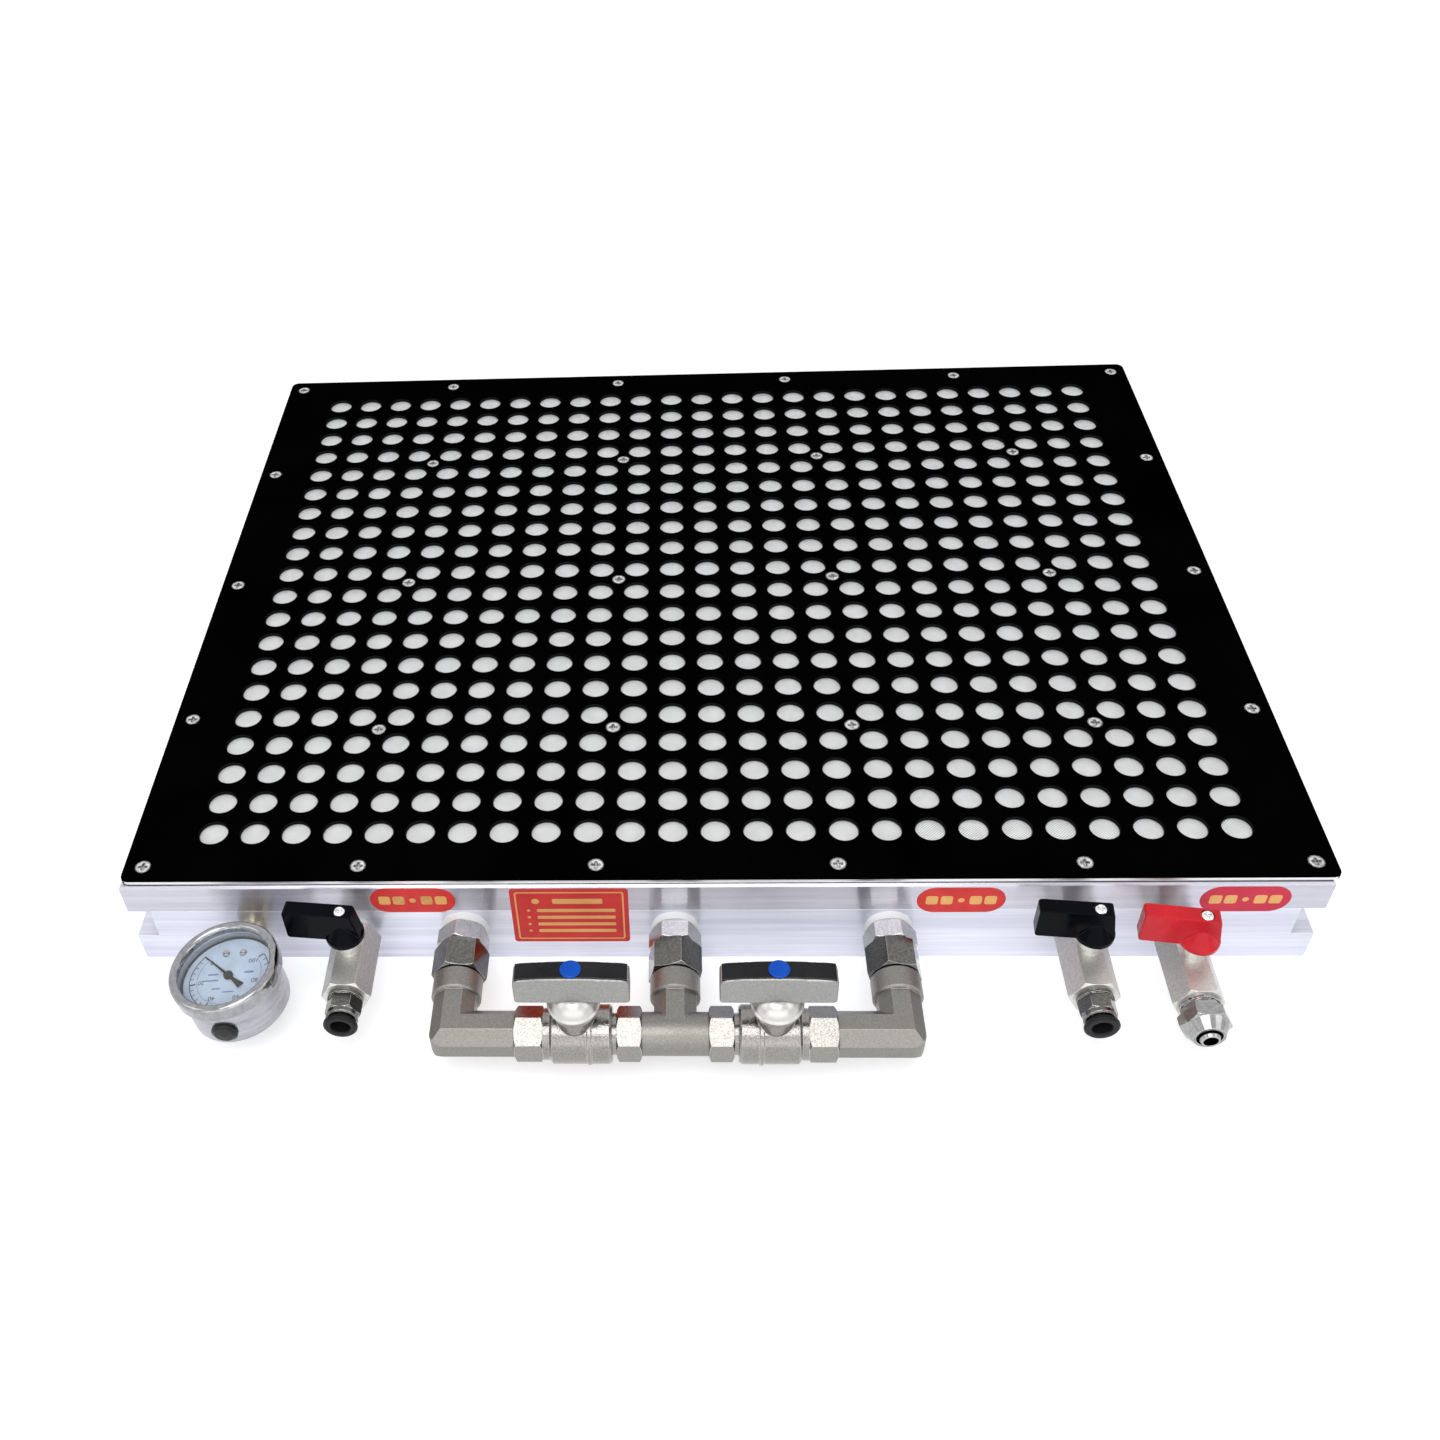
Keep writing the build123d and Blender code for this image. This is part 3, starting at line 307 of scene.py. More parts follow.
def newMaterial(name, values):
    material = bpy.data.materials.new(name)
    material.use_nodes = True
    tree = material.node_tree
    shader = tree.nodes["Principled BSDF"]
    for socket, value in values.items():
        shader.inputs[socket].default_value = value
    return material, tree, shader


# Bare and plated metals. Tones run from the dark to the light end of the grain. "drawn" stretches the shine
# upright, and
# "hub" is the height under which a piece is given a lighter tone, a painted highlight, with that tone there.
bumpDepth = 0.0002
hubFade = 0.0004
metalSet = {
    "millBase": {
        "dark": (0.60, 0.61, 0.71), "light": (0.78, 0.79, 0.88), "edgeTone": (0.95, 0.95, 0.98),
        "shine": (0.34, 0.42), "lines": (0.30, 18.0, 18.0), "scale": 55.0, "bump": 0.06, "edge": 0.0005,
        "drawn": 0.8,
    },
    "millTop": {
        "dark": (0.50, 0.49, 0.56), "light": (0.61, 0.60, 0.67), "edgeTone": (0.93, 0.93, 0.95),
        "shine": (0.22, 0.27), "lines": (0.4, 18.0, 24.0), "scale": 60.0, "bump": 0.02, "edge": 0.0004,
        "drawn": 1.0,
    },
    "brightScrew": {
        "dark": (0.72, 0.72, 0.73), "light": (0.90, 0.90, 0.91), "edgeTone": (0.97, 0.97, 0.97),
        "shine": (0.14, 0.26), "skin": 1600.0, "bump": 0.05, "edge": 0.00015,
    },
    # Its dark edge colour is painted shade round the rim of the screw head.
    "panelScrew": {
        "dark": (0.35, 0.35, 0.35), "light": (0.98, 0.98, 0.98), "edgeTone": (0.01, 0.01, 0.01),
        "shine": (0.28, 0.42), "skin": 700.0, "bump": 0.35, "edge": 0.0011,
    },
    "miniNickel": {
        "dark": (0.58, 0.572, 0.545), "light": (0.74, 0.732, 0.70), "edgeTone": (0.97, 0.96, 0.94),
        "shine": (0.40, 0.50), "skin": 900.0, "bump": 0.06, "edge": 0.00035,
    },
    # Far darker than the same nickel plating elsewhere: a painted dark reflection on the union nuts, mini
    # valve inserts and push fittings.
    "unionNickel": {
        "dark": (0.10, 0.098, 0.092), "light": (0.20, 0.197, 0.188), "edgeTone": (0.80, 0.79, 0.77),
        "shine": (0.10, 0.18), "skin": 900.0, "bump": 0.05, "edge": 0.00035,
    },
    "nippleNickel": {
        "dark": (0.44, 0.435, 0.42), "light": (0.60, 0.595, 0.58), "edgeTone": (0.95, 0.94, 0.92),
        "shine": (0.14, 0.24), "skin": 900.0, "bump": 0.05, "edge": 0.00035,
    },
    # Darker than the plated metal itself: a painted dark reflection on the elbows and tee.
    "castLeg": {
        "dark": (0.21, 0.203, 0.185), "light": (0.31, 0.301, 0.277), "edgeTone": (0.56, 0.55, 0.52),
        "shine": (0.40, 0.50), "skin": 1500.0, "bump": 0.16, "edge": 0.0006,
    },
    # Darker than the nickel plating itself: a painted dark reflection on the T valves.
    "valveNickel": {
        "dark": (0.20, 0.192, 0.178), "light": (0.38, 0.366, 0.342), "edgeTone": (0.92, 0.90, 0.87),
        "shine": (0.12, 0.20), "skin": 1300.0, "bump": 0.34, "edge": 0.0004, "fleck": (0.15, 0.144, 0.133),
    },
    "ballChrome": {
        "dark": (0.80, 0.80, 0.81), "light": (0.90, 0.90, 0.91), "edgeTone": (0.95, 0.95, 0.95),
        "shine": (0.04, 0.09), "skin": 600.0, "bump": 0.01, "edge": 0.0002,
    },
    "stemBrass": {
        "dark": (0.56, 0.49, 0.33), "light": (0.76, 0.70, 0.52), "edgeTone": (0.90, 0.85, 0.70),
        "shine": (0.22, 0.34), "skin": 900.0, "bump": 0.05, "edge": 0.0002,
    },
    "handleSilver": {
        "dark": (0.26, 0.256, 0.245), "light": (0.37, 0.366, 0.354), "edgeTone": (0.80, 0.79, 0.77),
        "shine": (0.26, 0.36), "skin": 1800.0, "bump": 0.07, "edge": 0.0005,
        "hub": (0.0480, (0.56, 0.552, 0.532)),
    },
    "nutChrome": {
        "dark": (0.28, 0.28, 0.28), "light": (0.42, 0.42, 0.42), "edgeTone": (0.90, 0.90, 0.90),
        "shine": (0.06, 0.12), "skin": 500.0, "bump": 0.02, "edge": 0.0003,
    },
    "caseSteel": {
        "dark": (0.34, 0.34, 0.365), "light": (0.48, 0.48, 0.515), "edgeTone": (0.88, 0.88, 0.90),
        "shine": (0.24, 0.34), "lines": (6.0, 6.0, 40.0), "scale": 60.0, "bump": 0.03, "edge": 0.0004,
    },
    "bezelChrome": {
        "dark": (0.28, 0.28, 0.29), "light": (0.38, 0.38, 0.395), "edgeTone": (0.97, 0.97, 0.98),
        "shine": (0.04, 0.08), "skin": 400.0, "bump": 0.01, "edge": 0.0003,
    },
}


def makeMetal(name):
    given = metalSet[name]
    material, tree, shader = newMaterial(name, {"Metallic": 1.0, "Anisotropic": given.get("drawn", 0.0)})
    if "drawn" in given:
        upright = put(tree, "ShaderNodeTangent", direction_type="RADIAL", axis="X")
        join(tree, upright.outputs[0], shader.inputs["Tangent"])
    if "lines" in given:
        grain = useGroup(tree, toolLines, {"Stretch": given["lines"], "Scale": given["scale"]})
    else:
        grain = useGroup(tree, castSkin, {"Scale": given["skin"]})
    tone = mixed(tree, grain.outputs["Tone"], given["dark"], given["light"])
    if "fleck" in given:
        tone = mixed(tree, grain.outputs["Fleck"], tone, given["fleck"])
    # Under the hub height the tone is lighter: a painted highlight for the lamp's reflection on the hub
    # dome.
    if "hub" in given:
        top, hubHighlight = given["hub"]
        place = put(tree, "ShaderNodeTexCoord")
        split = put(tree, "ShaderNodeSeparateXYZ")
        join(tree, place.outputs["Object"], split.inputs[0])
        under = mapped(tree, split.outputs["Z"], 1.0, 0.0, top, top + hubFade)
        tone = mixed(tree, under, tone, hubHighlight)
    # Along the rounded edges the colour turns to the edge colour: a painted highlight on most metals, and a
    # painted shade round the rim of the panel and dial screw heads.
    edges = useGroup(tree, roundedEdges, {"Width": given["edge"]})
    tone = mixed(tree, edges.outputs["Edge"], tone, given["edgeTone"])
    join(tree, tone, shader.inputs["Base Color"])
    clouds = useGroup(tree, handling)
    join(tree, mapped(tree, clouds.outputs["Cloud"], *given["shine"]), shader.inputs["Roughness"])
    bump = put(tree, "ShaderNodeBump", {"Strength": given["bump"], "Distance": bumpDepth})
    join(tree, grain.outputs["Height"], bump.inputs["Height"])
    join(tree, edges.outputs["Normal"], bump.inputs["Normal"])
    join(tree, bump.outputs["Normal"], shader.inputs["Normal"])
    return material


# Plastics, rubber and print, from their low to their high tone
plasticSkin = {"grain": 2200.0, "clouds": 70.0, "edge": 0.0004, "bump": 0.04, "depth": 0.0001}
plasticSet = {
    "sealRubber": {"low": (0.030, 0.030, 0.030), "high": (0.055, 0.055, 0.055), "shine": (0.5, 0.65)},
    "washerWhite": {"low": (0.80, 0.80, 0.78), "high": (0.92, 0.92, 0.90), "shine": (0.35, 0.5)},
    "seatWhite": {"low": (0.84, 0.84, 0.82), "high": (0.92, 0.92, 0.90), "shine": (0.35, 0.5)},
    "inlayBlack": {"low": (0.010, 0.010, 0.012), "high": (0.022, 0.022, 0.025), "shine": (0.22, 0.38),
                   "edge": (0.22, 0.22, 0.23), "gloss": 0.12},
    "capBlue": {"low": (0.004, 0.070, 0.46), "high": (0.007, 0.100, 0.58), "shine": (0.25, 0.35),
                "gloss": 0.15},
    "wingBlack": {"low": (0.0006, 0.0009, 0.0026), "high": (0.0016, 0.0021, 0.0048), "shine": (0.12, 0.22),
                  "edge": (0.050, 0.060, 0.090), "gloss": 0.05},
    "wingRed": {"low": (0.54, 0.006, 0.016), "high": (0.72, 0.012, 0.024), "shine": (0.16, 0.28),
                "edge": (0.92, 0.10, 0.11), "gloss": 0.25},
    "releaseBlack": {"low": (0.006, 0.006, 0.007), "high": (0.016, 0.016, 0.017), "shine": (0.3, 0.42),
                     "edge": (0.08, 0.08, 0.085), "gloss": 0.15},
    "plugBlack": {"low": (0.003, 0.003, 0.004), "high": (0.010, 0.010, 0.012), "shine": (0.2, 0.3),
                  "gloss": 0.3},
    "dialPaint": {"low": (0.33, 0.40, 0.50), "high": (0.45, 0.53, 0.65), "shine": (0.45, 0.6),
                  "gloss": 0.1},
    "needlePaint": {"low": (0.0015, 0.002, 0.002), "high": (0.004, 0.005, 0.005), "shine": (0.4, 0.5),
                    "gloss": 0.1},
    "labelRed": {"low": (0.70, 0.034, 0.032), "high": (0.84, 0.052, 0.046), "shine": (0.28, 0.42),
                 "gloss": 0.2},
    "labelCrimson": {"low": (0.66, 0.026, 0.066), "high": (0.78, 0.042, 0.088), "shine": (0.28, 0.42),
                     "gloss": 0.2},
    "labelYellow": {"low": (0.90, 0.42, 0.11), "high": (0.96, 0.54, 0.18), "shine": (0.35, 0.5)},
    "printInk": {"low": (0.010, 0.014, 0.030), "high": (0.030, 0.036, 0.060), "shine": (0.4, 0.5),
                 "gloss": 0.1},
    "printBlue": {"low": (0.10, 0.15, 0.36), "high": (0.16, 0.22, 0.46), "shine": (0.4, 0.5), "gloss": 0.1},
}


def makePlastic(name):
    given = plasticSet[name]
    sockets = {"Metallic": 0.0, "Specular IOR Level": given.get("gloss", 0.5)}
    material, tree, shader = newMaterial(name, sockets)
    skin = useGroup(tree, castSkin, {"Scale": plasticSkin["grain"]})
    clouds = useGroup(tree, handling, {"Scale": plasticSkin["clouds"]})
    tone = mixed(tree, clouds.outputs["Cloud"], given["low"], given["high"])
    edges = useGroup(tree, roundedEdges, {"Width": plasticSkin["edge"]})
    # The "edge" colour along rounded edges is a painted highlight on the wing handles; the inlay and release
    # rings get a lighter edge the same way.
    if "edge" in given:
        tone = mixed(tree, edges.outputs["Edge"], tone, given["edge"])
    join(tree, tone, shader.inputs["Base Color"])
    join(tree, mapped(tree, clouds.outputs["Cloud"], *given["shine"]), shader.inputs["Roughness"])
    bump = put(tree, "ShaderNodeBump", {"Strength": plasticSkin["bump"], "Distance": plasticSkin["depth"]})
    join(tree, skin.outputs["Height"], bump.inputs["Height"])
    join(tree, edges.outputs["Normal"], bump.inputs["Normal"])
    join(tree, bump.outputs["Normal"], shader.inputs["Normal"])
    return material


# Perforated panel: black all over but for the bare bright metal of its outer edges
panelSet = {
    "clouds": 18.0,
    "lines": {"Stretch": (1.0, 1.0, 6.0), "Scale": 900.0},
    "flatFrom": (0.3, 0.5),
    "wall": (0.012, 0.012, 0.013),
    "bareFrom": (0.2497, 0.1980),
    "black": (0.0005, 0.0005, 0.0006),
    "dusty": (0.0014, 0.0014, 0.0016),
    "cut": (0.80, 0.80, 0.80),
    "cutLight": (0.92, 0.92, 0.91),
    "shine": (0.42, 0.55),
    "cutShine": 0.28,
}


def makePanel():
    material, tree, shader = newMaterial("panelBlack", {"Specular IOR Level": 0.0})
    clouds = useGroup(tree, handling, {"Scale": panelSet["clouds"]})
    lines = useGroup(tree, toolLines, panelSet["lines"])
    flat = put(tree, "ShaderNodeNewGeometry")
    split = put(tree, "ShaderNodeSeparateXYZ")
    join(tree, flat.outputs["Normal"], split.inputs[0])
    upright = put(tree, "ShaderNodeMath", operation="ABSOLUTE")
    join(tree, split.outputs["Z"], upright.inputs[0])
    flatness = mapped(tree, upright.outputs[0], 0.0, 1.0, *panelSet["flatFrom"])
    place = put(tree, "ShaderNodeTexCoord")
    where = put(tree, "ShaderNodeSeparateXYZ")
    join(tree, place.outputs["Object"], where.inputs[0])
    beyond = []
    for axis, reach in zip("XY", panelSet["bareFrom"]):
        away = put(tree, "ShaderNodeMath", operation="ABSOLUTE")
        join(tree, where.outputs[axis], away.inputs[0])
        beyond.append(maths(tree, "LESS_THAN", away.outputs[0], reach))
    coated = maths(tree, "MAXIMUM", flatness, maths(tree, "MINIMUM", beyond[0], beyond[1]))
    paint = mixed(tree, clouds.outputs["Cloud"], panelSet["black"], panelSet["dusty"])
    paint = mixed(tree, flatness, panelSet["wall"], paint)
    bare = mixed(tree, lines.outputs["Tone"], panelSet["cut"], panelSet["cutLight"])
    join(tree, mixed(tree, coated, bare, paint), shader.inputs["Base Color"])
    join(tree, mapped(tree, coated, 1.0, 0.0), shader.inputs["Metallic"])
    dull = mapped(tree, clouds.outputs["Cloud"], *panelSet["shine"])
    rough = put(tree, "ShaderNodeMix", data_type="FLOAT")
    join(tree, coated, rough.inputs[0])
    rough.inputs[2].default_value = panelSet["cutShine"]
    join(tree, dull, rough.inputs[3])
    join(tree, rough.outputs[0], shader.inputs["Roughness"])
    return material


# Filter mesh under the holes, with painted shade close to each hole's edge
meshSet = {
    "clouds": 210.0,
    "bump": {"Strength": 0.5, "Distance": 0.0002},
    "pitch": 0.00135,
    "gap": (0.34, 0.34, 0.335),
    "wire": (0.98, 0.98, 0.975),
    "shade": (0.80, 0.80, 0.79),
    # painted shade colour for the ring close to each hole's edge, and the reach where it begins and ends
    "rim": (0.015, 0.015, 0.016),
    "holes": 0.018,
    "rimFrom": 0.00590,
    "rimTo": 0.00625,
    "metallic": 0.35,
    "shine": (0.30, 0.50),
}


def makeMesh():
    material, tree, shader = newMaterial("meshWire", {"Metallic": meshSet["metallic"]})
    weave = useGroup(tree, wireWeave, {"Pitch": meshSet["pitch"]})
    clouds = useGroup(tree, handling, {"Scale": meshSet["clouds"]})
    wire = mixed(tree, clouds.outputs["Cloud"], meshSet["shade"], meshSet["wire"])
    tone = mixed(tree, weave.outputs["Wire"], meshSet["gap"], wire)
    rim = useGroup(tree, holeRim, {"Pitch": meshSet["holes"]})
    # Dark ring close to each hole's edge: painted shade where the panel's hole wall shades the mesh
    dark = mapped(tree, rim.outputs["Reach"], 0.0, 1.0, meshSet["rimFrom"], meshSet["rimTo"])
    join(tree, mixed(tree, dark, tone, meshSet["rim"]), shader.inputs["Base Color"])
    join(tree, mapped(tree, clouds.outputs["Cloud"], *meshSet["shine"]), shader.inputs["Roughness"])
    bump = put(tree, "ShaderNodeBump", meshSet["bump"])
    join(tree, weave.outputs["Height"], bump.inputs["Height"])
    join(tree, bump.outputs["Normal"], shader.inputs["Normal"])
    return material


def makeLens():
    values = {
        "Base Color": (0.97, 0.985, 0.99, 1.0),
        "Transmission Weight": 1.0,
        "Metallic": 0.0,
        "Roughness": 0.0,
        "IOR": 1.46,
    }
    return newMaterial("lensClear", values)[0]


finishes = {name: makeMetal(name) for name in metalSet}
finishes.update({name: makePlastic(name) for name in plasticSet})
finishes["panelBlack"] = makePanel()
finishes["meshWire"] = makeMesh()
finishes["lensClear"] = makeLens()
print("finishes made:", len(finishes))

# Which finish each piece of the model has, by the beginning of its name
dressing = {
    "base_plate": "millBase",
    "suction_plate": "millTop",
    "plate_seal": "sealRubber",
    "filter_mesh": "meshWire",
    "top_panel": "panelBlack",
    "panel_screws": "panelScrew",
    "assembly_screws": "brightScrew",
    "seal_washers": "washerWhite",
    "union_": "unionNickel",
    "union_nipples": "nippleNickel",
    "elbow_": "castLeg",
    "tee": "castLeg",
    "t_valve_body": "valveNickel",
    "t_valve_ends": "valveNickel",
    "t_valve_ball": "ballChrome",
    "t_valve_stem": "stemBrass",
    "valve_seals": "seatWhite",
    "t_handle_left": "handleSilver",
    "t_handle_right": "handleSilver",
    "t_handle_inlay": "inlayBlack",
    "t_handle_cap": "capBlue",
    "t_handle_screw": "brightScrew",
    "mini_valve_body": "miniNickel",
    "mini_valve_inserts": "unionNickel",
    "mini_valve_ball": "ballChrome",
    "mini_valve_stem": "stemBrass",
    "wing_handle_left": "wingBlack",
    "wing_handle_right": "wingBlack",
    "wing_handle_vacuum": "wingRed",
    "wing_handle_screw": "brightScrew",
    "push_fitting": "unionNickel",
    "release_ring": "releaseBlack",
    "tube_seals": "sealRubber",
    "hose_nut": "nutChrome",
    "hose_spigot": "nutChrome",
    "gauge_case": "caseSteel",
    "gauge_bezel": "bezelChrome",
    "gauge_lens": "lensClear",
    "gauge_dial": "dialPaint",
    "gauge_needle": "needlePaint",
    "gauge_fill_plug": "plugBlack",
    "gauge_movement": "stemBrass",
}


def dressNodes():
    for name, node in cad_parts.items():
        begins = [start for start in dressing if name.startswith(start)]
        chosen = finishes[dressing[max(begins, key=len)]]
        node.data.materials.clear()
        node.data.materials.append(chosen)
    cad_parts["gauge_lens"].visible_shadow = False  # the dial is lit through it


dressNodes()
print("model dressed")


# Thin added shapes: each is a closed slab, drawn in its own plane and put in place
def roundedBar(width, height, corner, steps=6):
    points = []
    for quarter, (sideX, sideY) in enumerate(((1, 1), (-1, 1), (-1, -1), (1, -1))):
        centre = (sideX * (width / 2 - corner), sideY * (height / 2 - corner))
        for step in range(steps + 1):
            angle = math.radians(90 * (quarter + step / steps))
            points.append((centre[0] + corner * math.cos(angle), centre[1] + corner * math.sin(angle)))
    return points


def circleOf(radius, steps=32):
    turns = [2 * math.pi * step / steps for step in range(steps)]
    return [(radius * math.cos(turn), radius * math.sin(turn)) for turn in turns]


def addSlab(shape, outline, low, high, place, finish=0):
    bottom = [shape.verts.new(place @ Vector((x, y, low))) for x, y in outline]
    top = [shape.verts.new(place @ Vector((x, y, high))) for x, y in outline]
    faces = [shape.faces.new(top), shape.faces.new(list(reversed(bottom)))]
    for here in range(len(outline)):
        there = (here + 1) % len(outline)
        faces.append(shape.faces.new((bottom[here], bottom[there], top[there], top[here])))
    for face in faces:
        face.material_index = finish


def addBand(shape, outer, inner, low, high, place, finish=0):
    rings = []
    for outline, height in ((outer, low), (outer, high), (inner, high), (inner, low)):
        rings.append([shape.verts.new(place @ Vector((x, y, height))) for x, y in outline])
    count = len(outer)
    for side in range(4):
        first, second = rings[side], rings[(side + 1) % 4]
        for here in range(count):
            there = (here + 1) % count
            face = shape.faces.new((first[here], first[there], second[there], second[here]))
            face.material_index = finish


def finishShape(shape, name, finishNames, body=bodyName):
    bmesh.ops.recalc_face_normals(shape, faces=shape.faces)
    mesh = bpy.data.meshes.new(name)
    shape.to_mesh(mesh)
    shape.free()
    for finish in finishNames:
        mesh.materials.append(finishes[finish])
    piece = bpy.data.objects.new(name, mesh)
    bpy.context.scene.collection.objects.link(piece)
    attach(piece, body)
    return piece


# Labels on the front: fields of colour, with plain bars where the print was
labelSet = {
    "sheet": 0.16 * mm,
    "ink": 0.05 * mm,
    "notice": {"centre": (-61.4, 28.5), "size": (49.4, 35.0), "corner": 1.6, "frame": 1.9, "line": 0.7,
               "frameCorners": (1.2, 0.7)},
    "headCorner": 0.8,
    "rowCorner": 0.6,
    "rowDotSteps": 16,
    "pillSteps": 14,
    "headBar": (21.0, 3.2, 3.4, 9.6),
    "headDot": (1.7, -14.2, 9.6),
    "rows": (3.6, -0.9, -5.4, -9.9),
    "rowBar": (33.0, 2.0, 2.6),
    "rowDot": (0.7, -17.4),
    "pills": ((-127.0, 39.0, "labelRed"), (100.0, 38.0, "labelRed"), (214.0, 38.0, "labelCrimson")),
    "pillSize": (36.0, 15.5),
    "pillBlock": (4.9, 5.3, 1.1),
    "pillPlaces": (-11.9, -5.9, 5.9, 11.9),
    "pillDot": 1.35,
}
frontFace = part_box("suction_plate")[0].y


def frontPlace(x, z):
    turn = Matrix.Rotation(math.radians(90), 4, "X")
    return Matrix.Translation((x * mm, frontFace, z * mm)) @ turn


def scaled(points):
    return [(x * mm, y * mm) for x, y in points]


def makeNotice():
    shape = bmesh.new()
    given = labelSet["notice"]
    place = frontPlace(*given["centre"])
    width, height = given["size"]
    sheet = labelSet["sheet"]
    ink = sheet + labelSet["ink"]
    addSlab(shape, scaled(roundedBar(width, height, given["corner"])), 0, sheet, place)
    inset = given["frame"]
    outerCorner, innerCorner = given["frameCorners"]
    outer = roundedBar(width - 2 * inset, height - 2 * inset, outerCorner)
    line = inset + given["line"]
    inner = roundedBar(width - 2 * line, height - 2 * line, innerCorner)
    addBand(shape, scaled(outer), scaled(inner), sheet, ink, place, 1)
    barWidth, barHeight, shiftX, shiftY = labelSet["headBar"]
    plain = roundedBar(barWidth, barHeight, labelSet["headCorner"])
    bar = [(x + shiftX, y + shiftY) for x, y in plain]
    addSlab(shape, scaled(bar), sheet, ink, place, 1)
    radius, shiftX, shiftY = labelSet["headDot"]
    dot = [(x + shiftX, y + shiftY) for x, y in circleOf(radius)]
    addSlab(shape, scaled(dot), sheet, ink, place, 1)
    for row in labelSet["rows"]:
        barWidth, barHeight, shiftX = labelSet["rowBar"]
        plain = roundedBar(barWidth, barHeight, labelSet["rowCorner"])
        bar = [(x + shiftX, y + row) for x, y in plain]
        addSlab(shape, scaled(bar), sheet, ink, place, 1)
        radius, shiftX = labelSet["rowDot"]
        dot = [(x + shiftX, y + row) for x, y in circleOf(radius, labelSet["rowDotSteps"])]
        addSlab(shape, scaled(dot), sheet, ink, place, 1)
    return finishShape(shape, "label_notice", ("labelRed", "labelYellow"))


def makePills():
    width, height = labelSet["pillSize"]
    sheet = labelSet["sheet"]
    ink = sheet + labelSet["ink"]
    for number, (x, z, finish) in enumerate(labelSet["pills"]):
        shape = bmesh.new()
        place = frontPlace(x, z)
        oval = roundedBar(width, height, height / 2 - 0.01, labelSet["pillSteps"])
        addSlab(shape, scaled(oval), 0, sheet, place)
        for shift in labelSet["pillPlaces"]:
            block = [(px + shift, py) for px, py in roundedBar(*labelSet["pillBlock"])]
            addSlab(shape, scaled(block), sheet, ink, place, 1)
        addSlab(shape, scaled(circleOf(labelSet["pillDot"])), sheet, ink, place, 1)
        finishShape(shape, f"label_pill_{number + 1}", (finish, "labelYellow"))


makeNotice()
makePills()
print("labels made")

# Gauge face: the scale runs from the zero mark round the side nearest the front
gaugeSet = {
    "axis": (-199.2, -232.2, 21.0),
    "lean": -6.0,
    "face": 8.1,
    "ink": 0.05,
    "zero": 140.0,
    "sweep": 260.0,
    "majors": 5,
    "minors": 5,
    "majorTick": (14.0, 16.4, 0.6),
    "minorTick": (15.0, 16.4, 0.3),
    "arc": (16.4, 16.75),
    "innerArc": (13.4, 13.6),
    "numberRadius": 11.7,
    "numberSize": 2.9,
    "bars": ((-7.2, -1.6, 6.0, 0.7), (-7.0, 1.4, 4.6, 0.7), (-4.4, -5.8, 3.6, 0.6), (1.2, -7.6, 5.0, 0.6),
             (8.2, 1.8, 4.0, 0.9)),
    "screws": ((-3.65, 11.6), (3.65, 11.6)),
    "screwRadius": 1.5,
    "screwHeight": 0.6,
    "screwSlot": 0.32,
    "screwStep": 0.4,
    "screwTop": 0.97,
    "screwSteps": 16,
    "barCorner": 0.4,
}


def gaugePlace():
    x, y, z = gaugeSet["axis"]
    lean = Matrix.Rotation(math.radians(gaugeSet["lean"]), 4, "Y")
    return Matrix.Translation((x * mm, y * mm, z * mm)) @ lean @ Matrix.Scale(mm, 4)


def arcBand(shape, inner, outer, low, high, place, steps=90):
    start, sweep = gaugeSet["zero"], gaugeSet["sweep"]
    angles = [math.radians(start + sweep * step / steps) for step in range(steps + 1)]
    outline = [(outer * math.cos(a), outer * math.sin(a)) for a in angles]
    outline += [(inner * math.cos(a), inner * math.sin(a)) for a in reversed(angles)]
    bottom = [shape.verts.new(place @ Vector((px, py, low))) for px, py in outline]
    top = [shape.verts.new(place @ Vector((px, py, high))) for px, py in outline]
    count = len(angles)
    for step in range(count - 1):
        back = 2 * count - 1 - step
        shape.faces.new((top[step], top[step + 1], top[back - 1], top[back]))
        shape.faces.new((bottom[back], bottom[back - 1], bottom[step + 1], bottom[step]))
    for here in range(len(outline)):
        there = (here + 1) % len(outline)
        shape.faces.new((bottom[here], bottom[there], top[there], top[here]))


def addNumber(shape, text, centre, low, place):
    curve = bpy.data.curves.new("number", "FONT")
    curve.body = text
    curve.size = gaugeSet["numberSize"]
    curve.align_x = "CENTER"
    curve.align_y = "CENTER"
    curve.extrude = gaugeSet["ink"] / 2
    holder = bpy.data.objects.new("number", curve)
    bpy.context.scene.collection.objects.link(holder)
    bpy.context.view_layer.update()
    mesh = bpy.data.meshes.new_from_object(holder.evaluated_get(bpy.context.evaluated_depsgraph_get()))
    turn = Matrix.Rotation(math.pi, 4, "Z")  # twelve o'clock points to the front
    mesh.transform(place @ Matrix.Translation((*centre, low + gaugeSet["ink"] / 2)) @ turn)
    shape.from_mesh(mesh)
    bpy.data.objects.remove(holder)
    bpy.data.meshes.remove(mesh)


def makeScale():
    shape = bmesh.new()
    place = gaugePlace()
    low = gaugeSet["face"]
    high = low + gaugeSet["ink"]
    steps = gaugeSet["majors"] * gaugeSet["minors"]
    for step in range(steps + 1):
        isMajor = step % gaugeSet["minors"] == 0
        inner, outer, width = gaugeSet["majorTick" if isMajor else "minorTick"]
        angle = gaugeSet["zero"] + gaugeSet["sweep"] * step / steps
        tick = place @ Matrix.Rotation(math.radians(angle), 4, "Z")
        outline = [(inner, -width / 2), (outer, -width / 2), (outer, width / 2), (inner, width / 2)]
        addSlab(shape, outline, low, high, tick)
        if isMajor:
            reach = gaugeSet["numberRadius"]
            centre = (reach * math.cos(math.radians(angle)), reach * math.sin(math.radians(angle)))
            addNumber(shape, str(20 * step // gaugeSet["minors"]), centre, low, place)
    arcBand(shape, *gaugeSet["arc"], low, high, place)
    return finishShape(shape, "gauge_scale", ("printInk",))


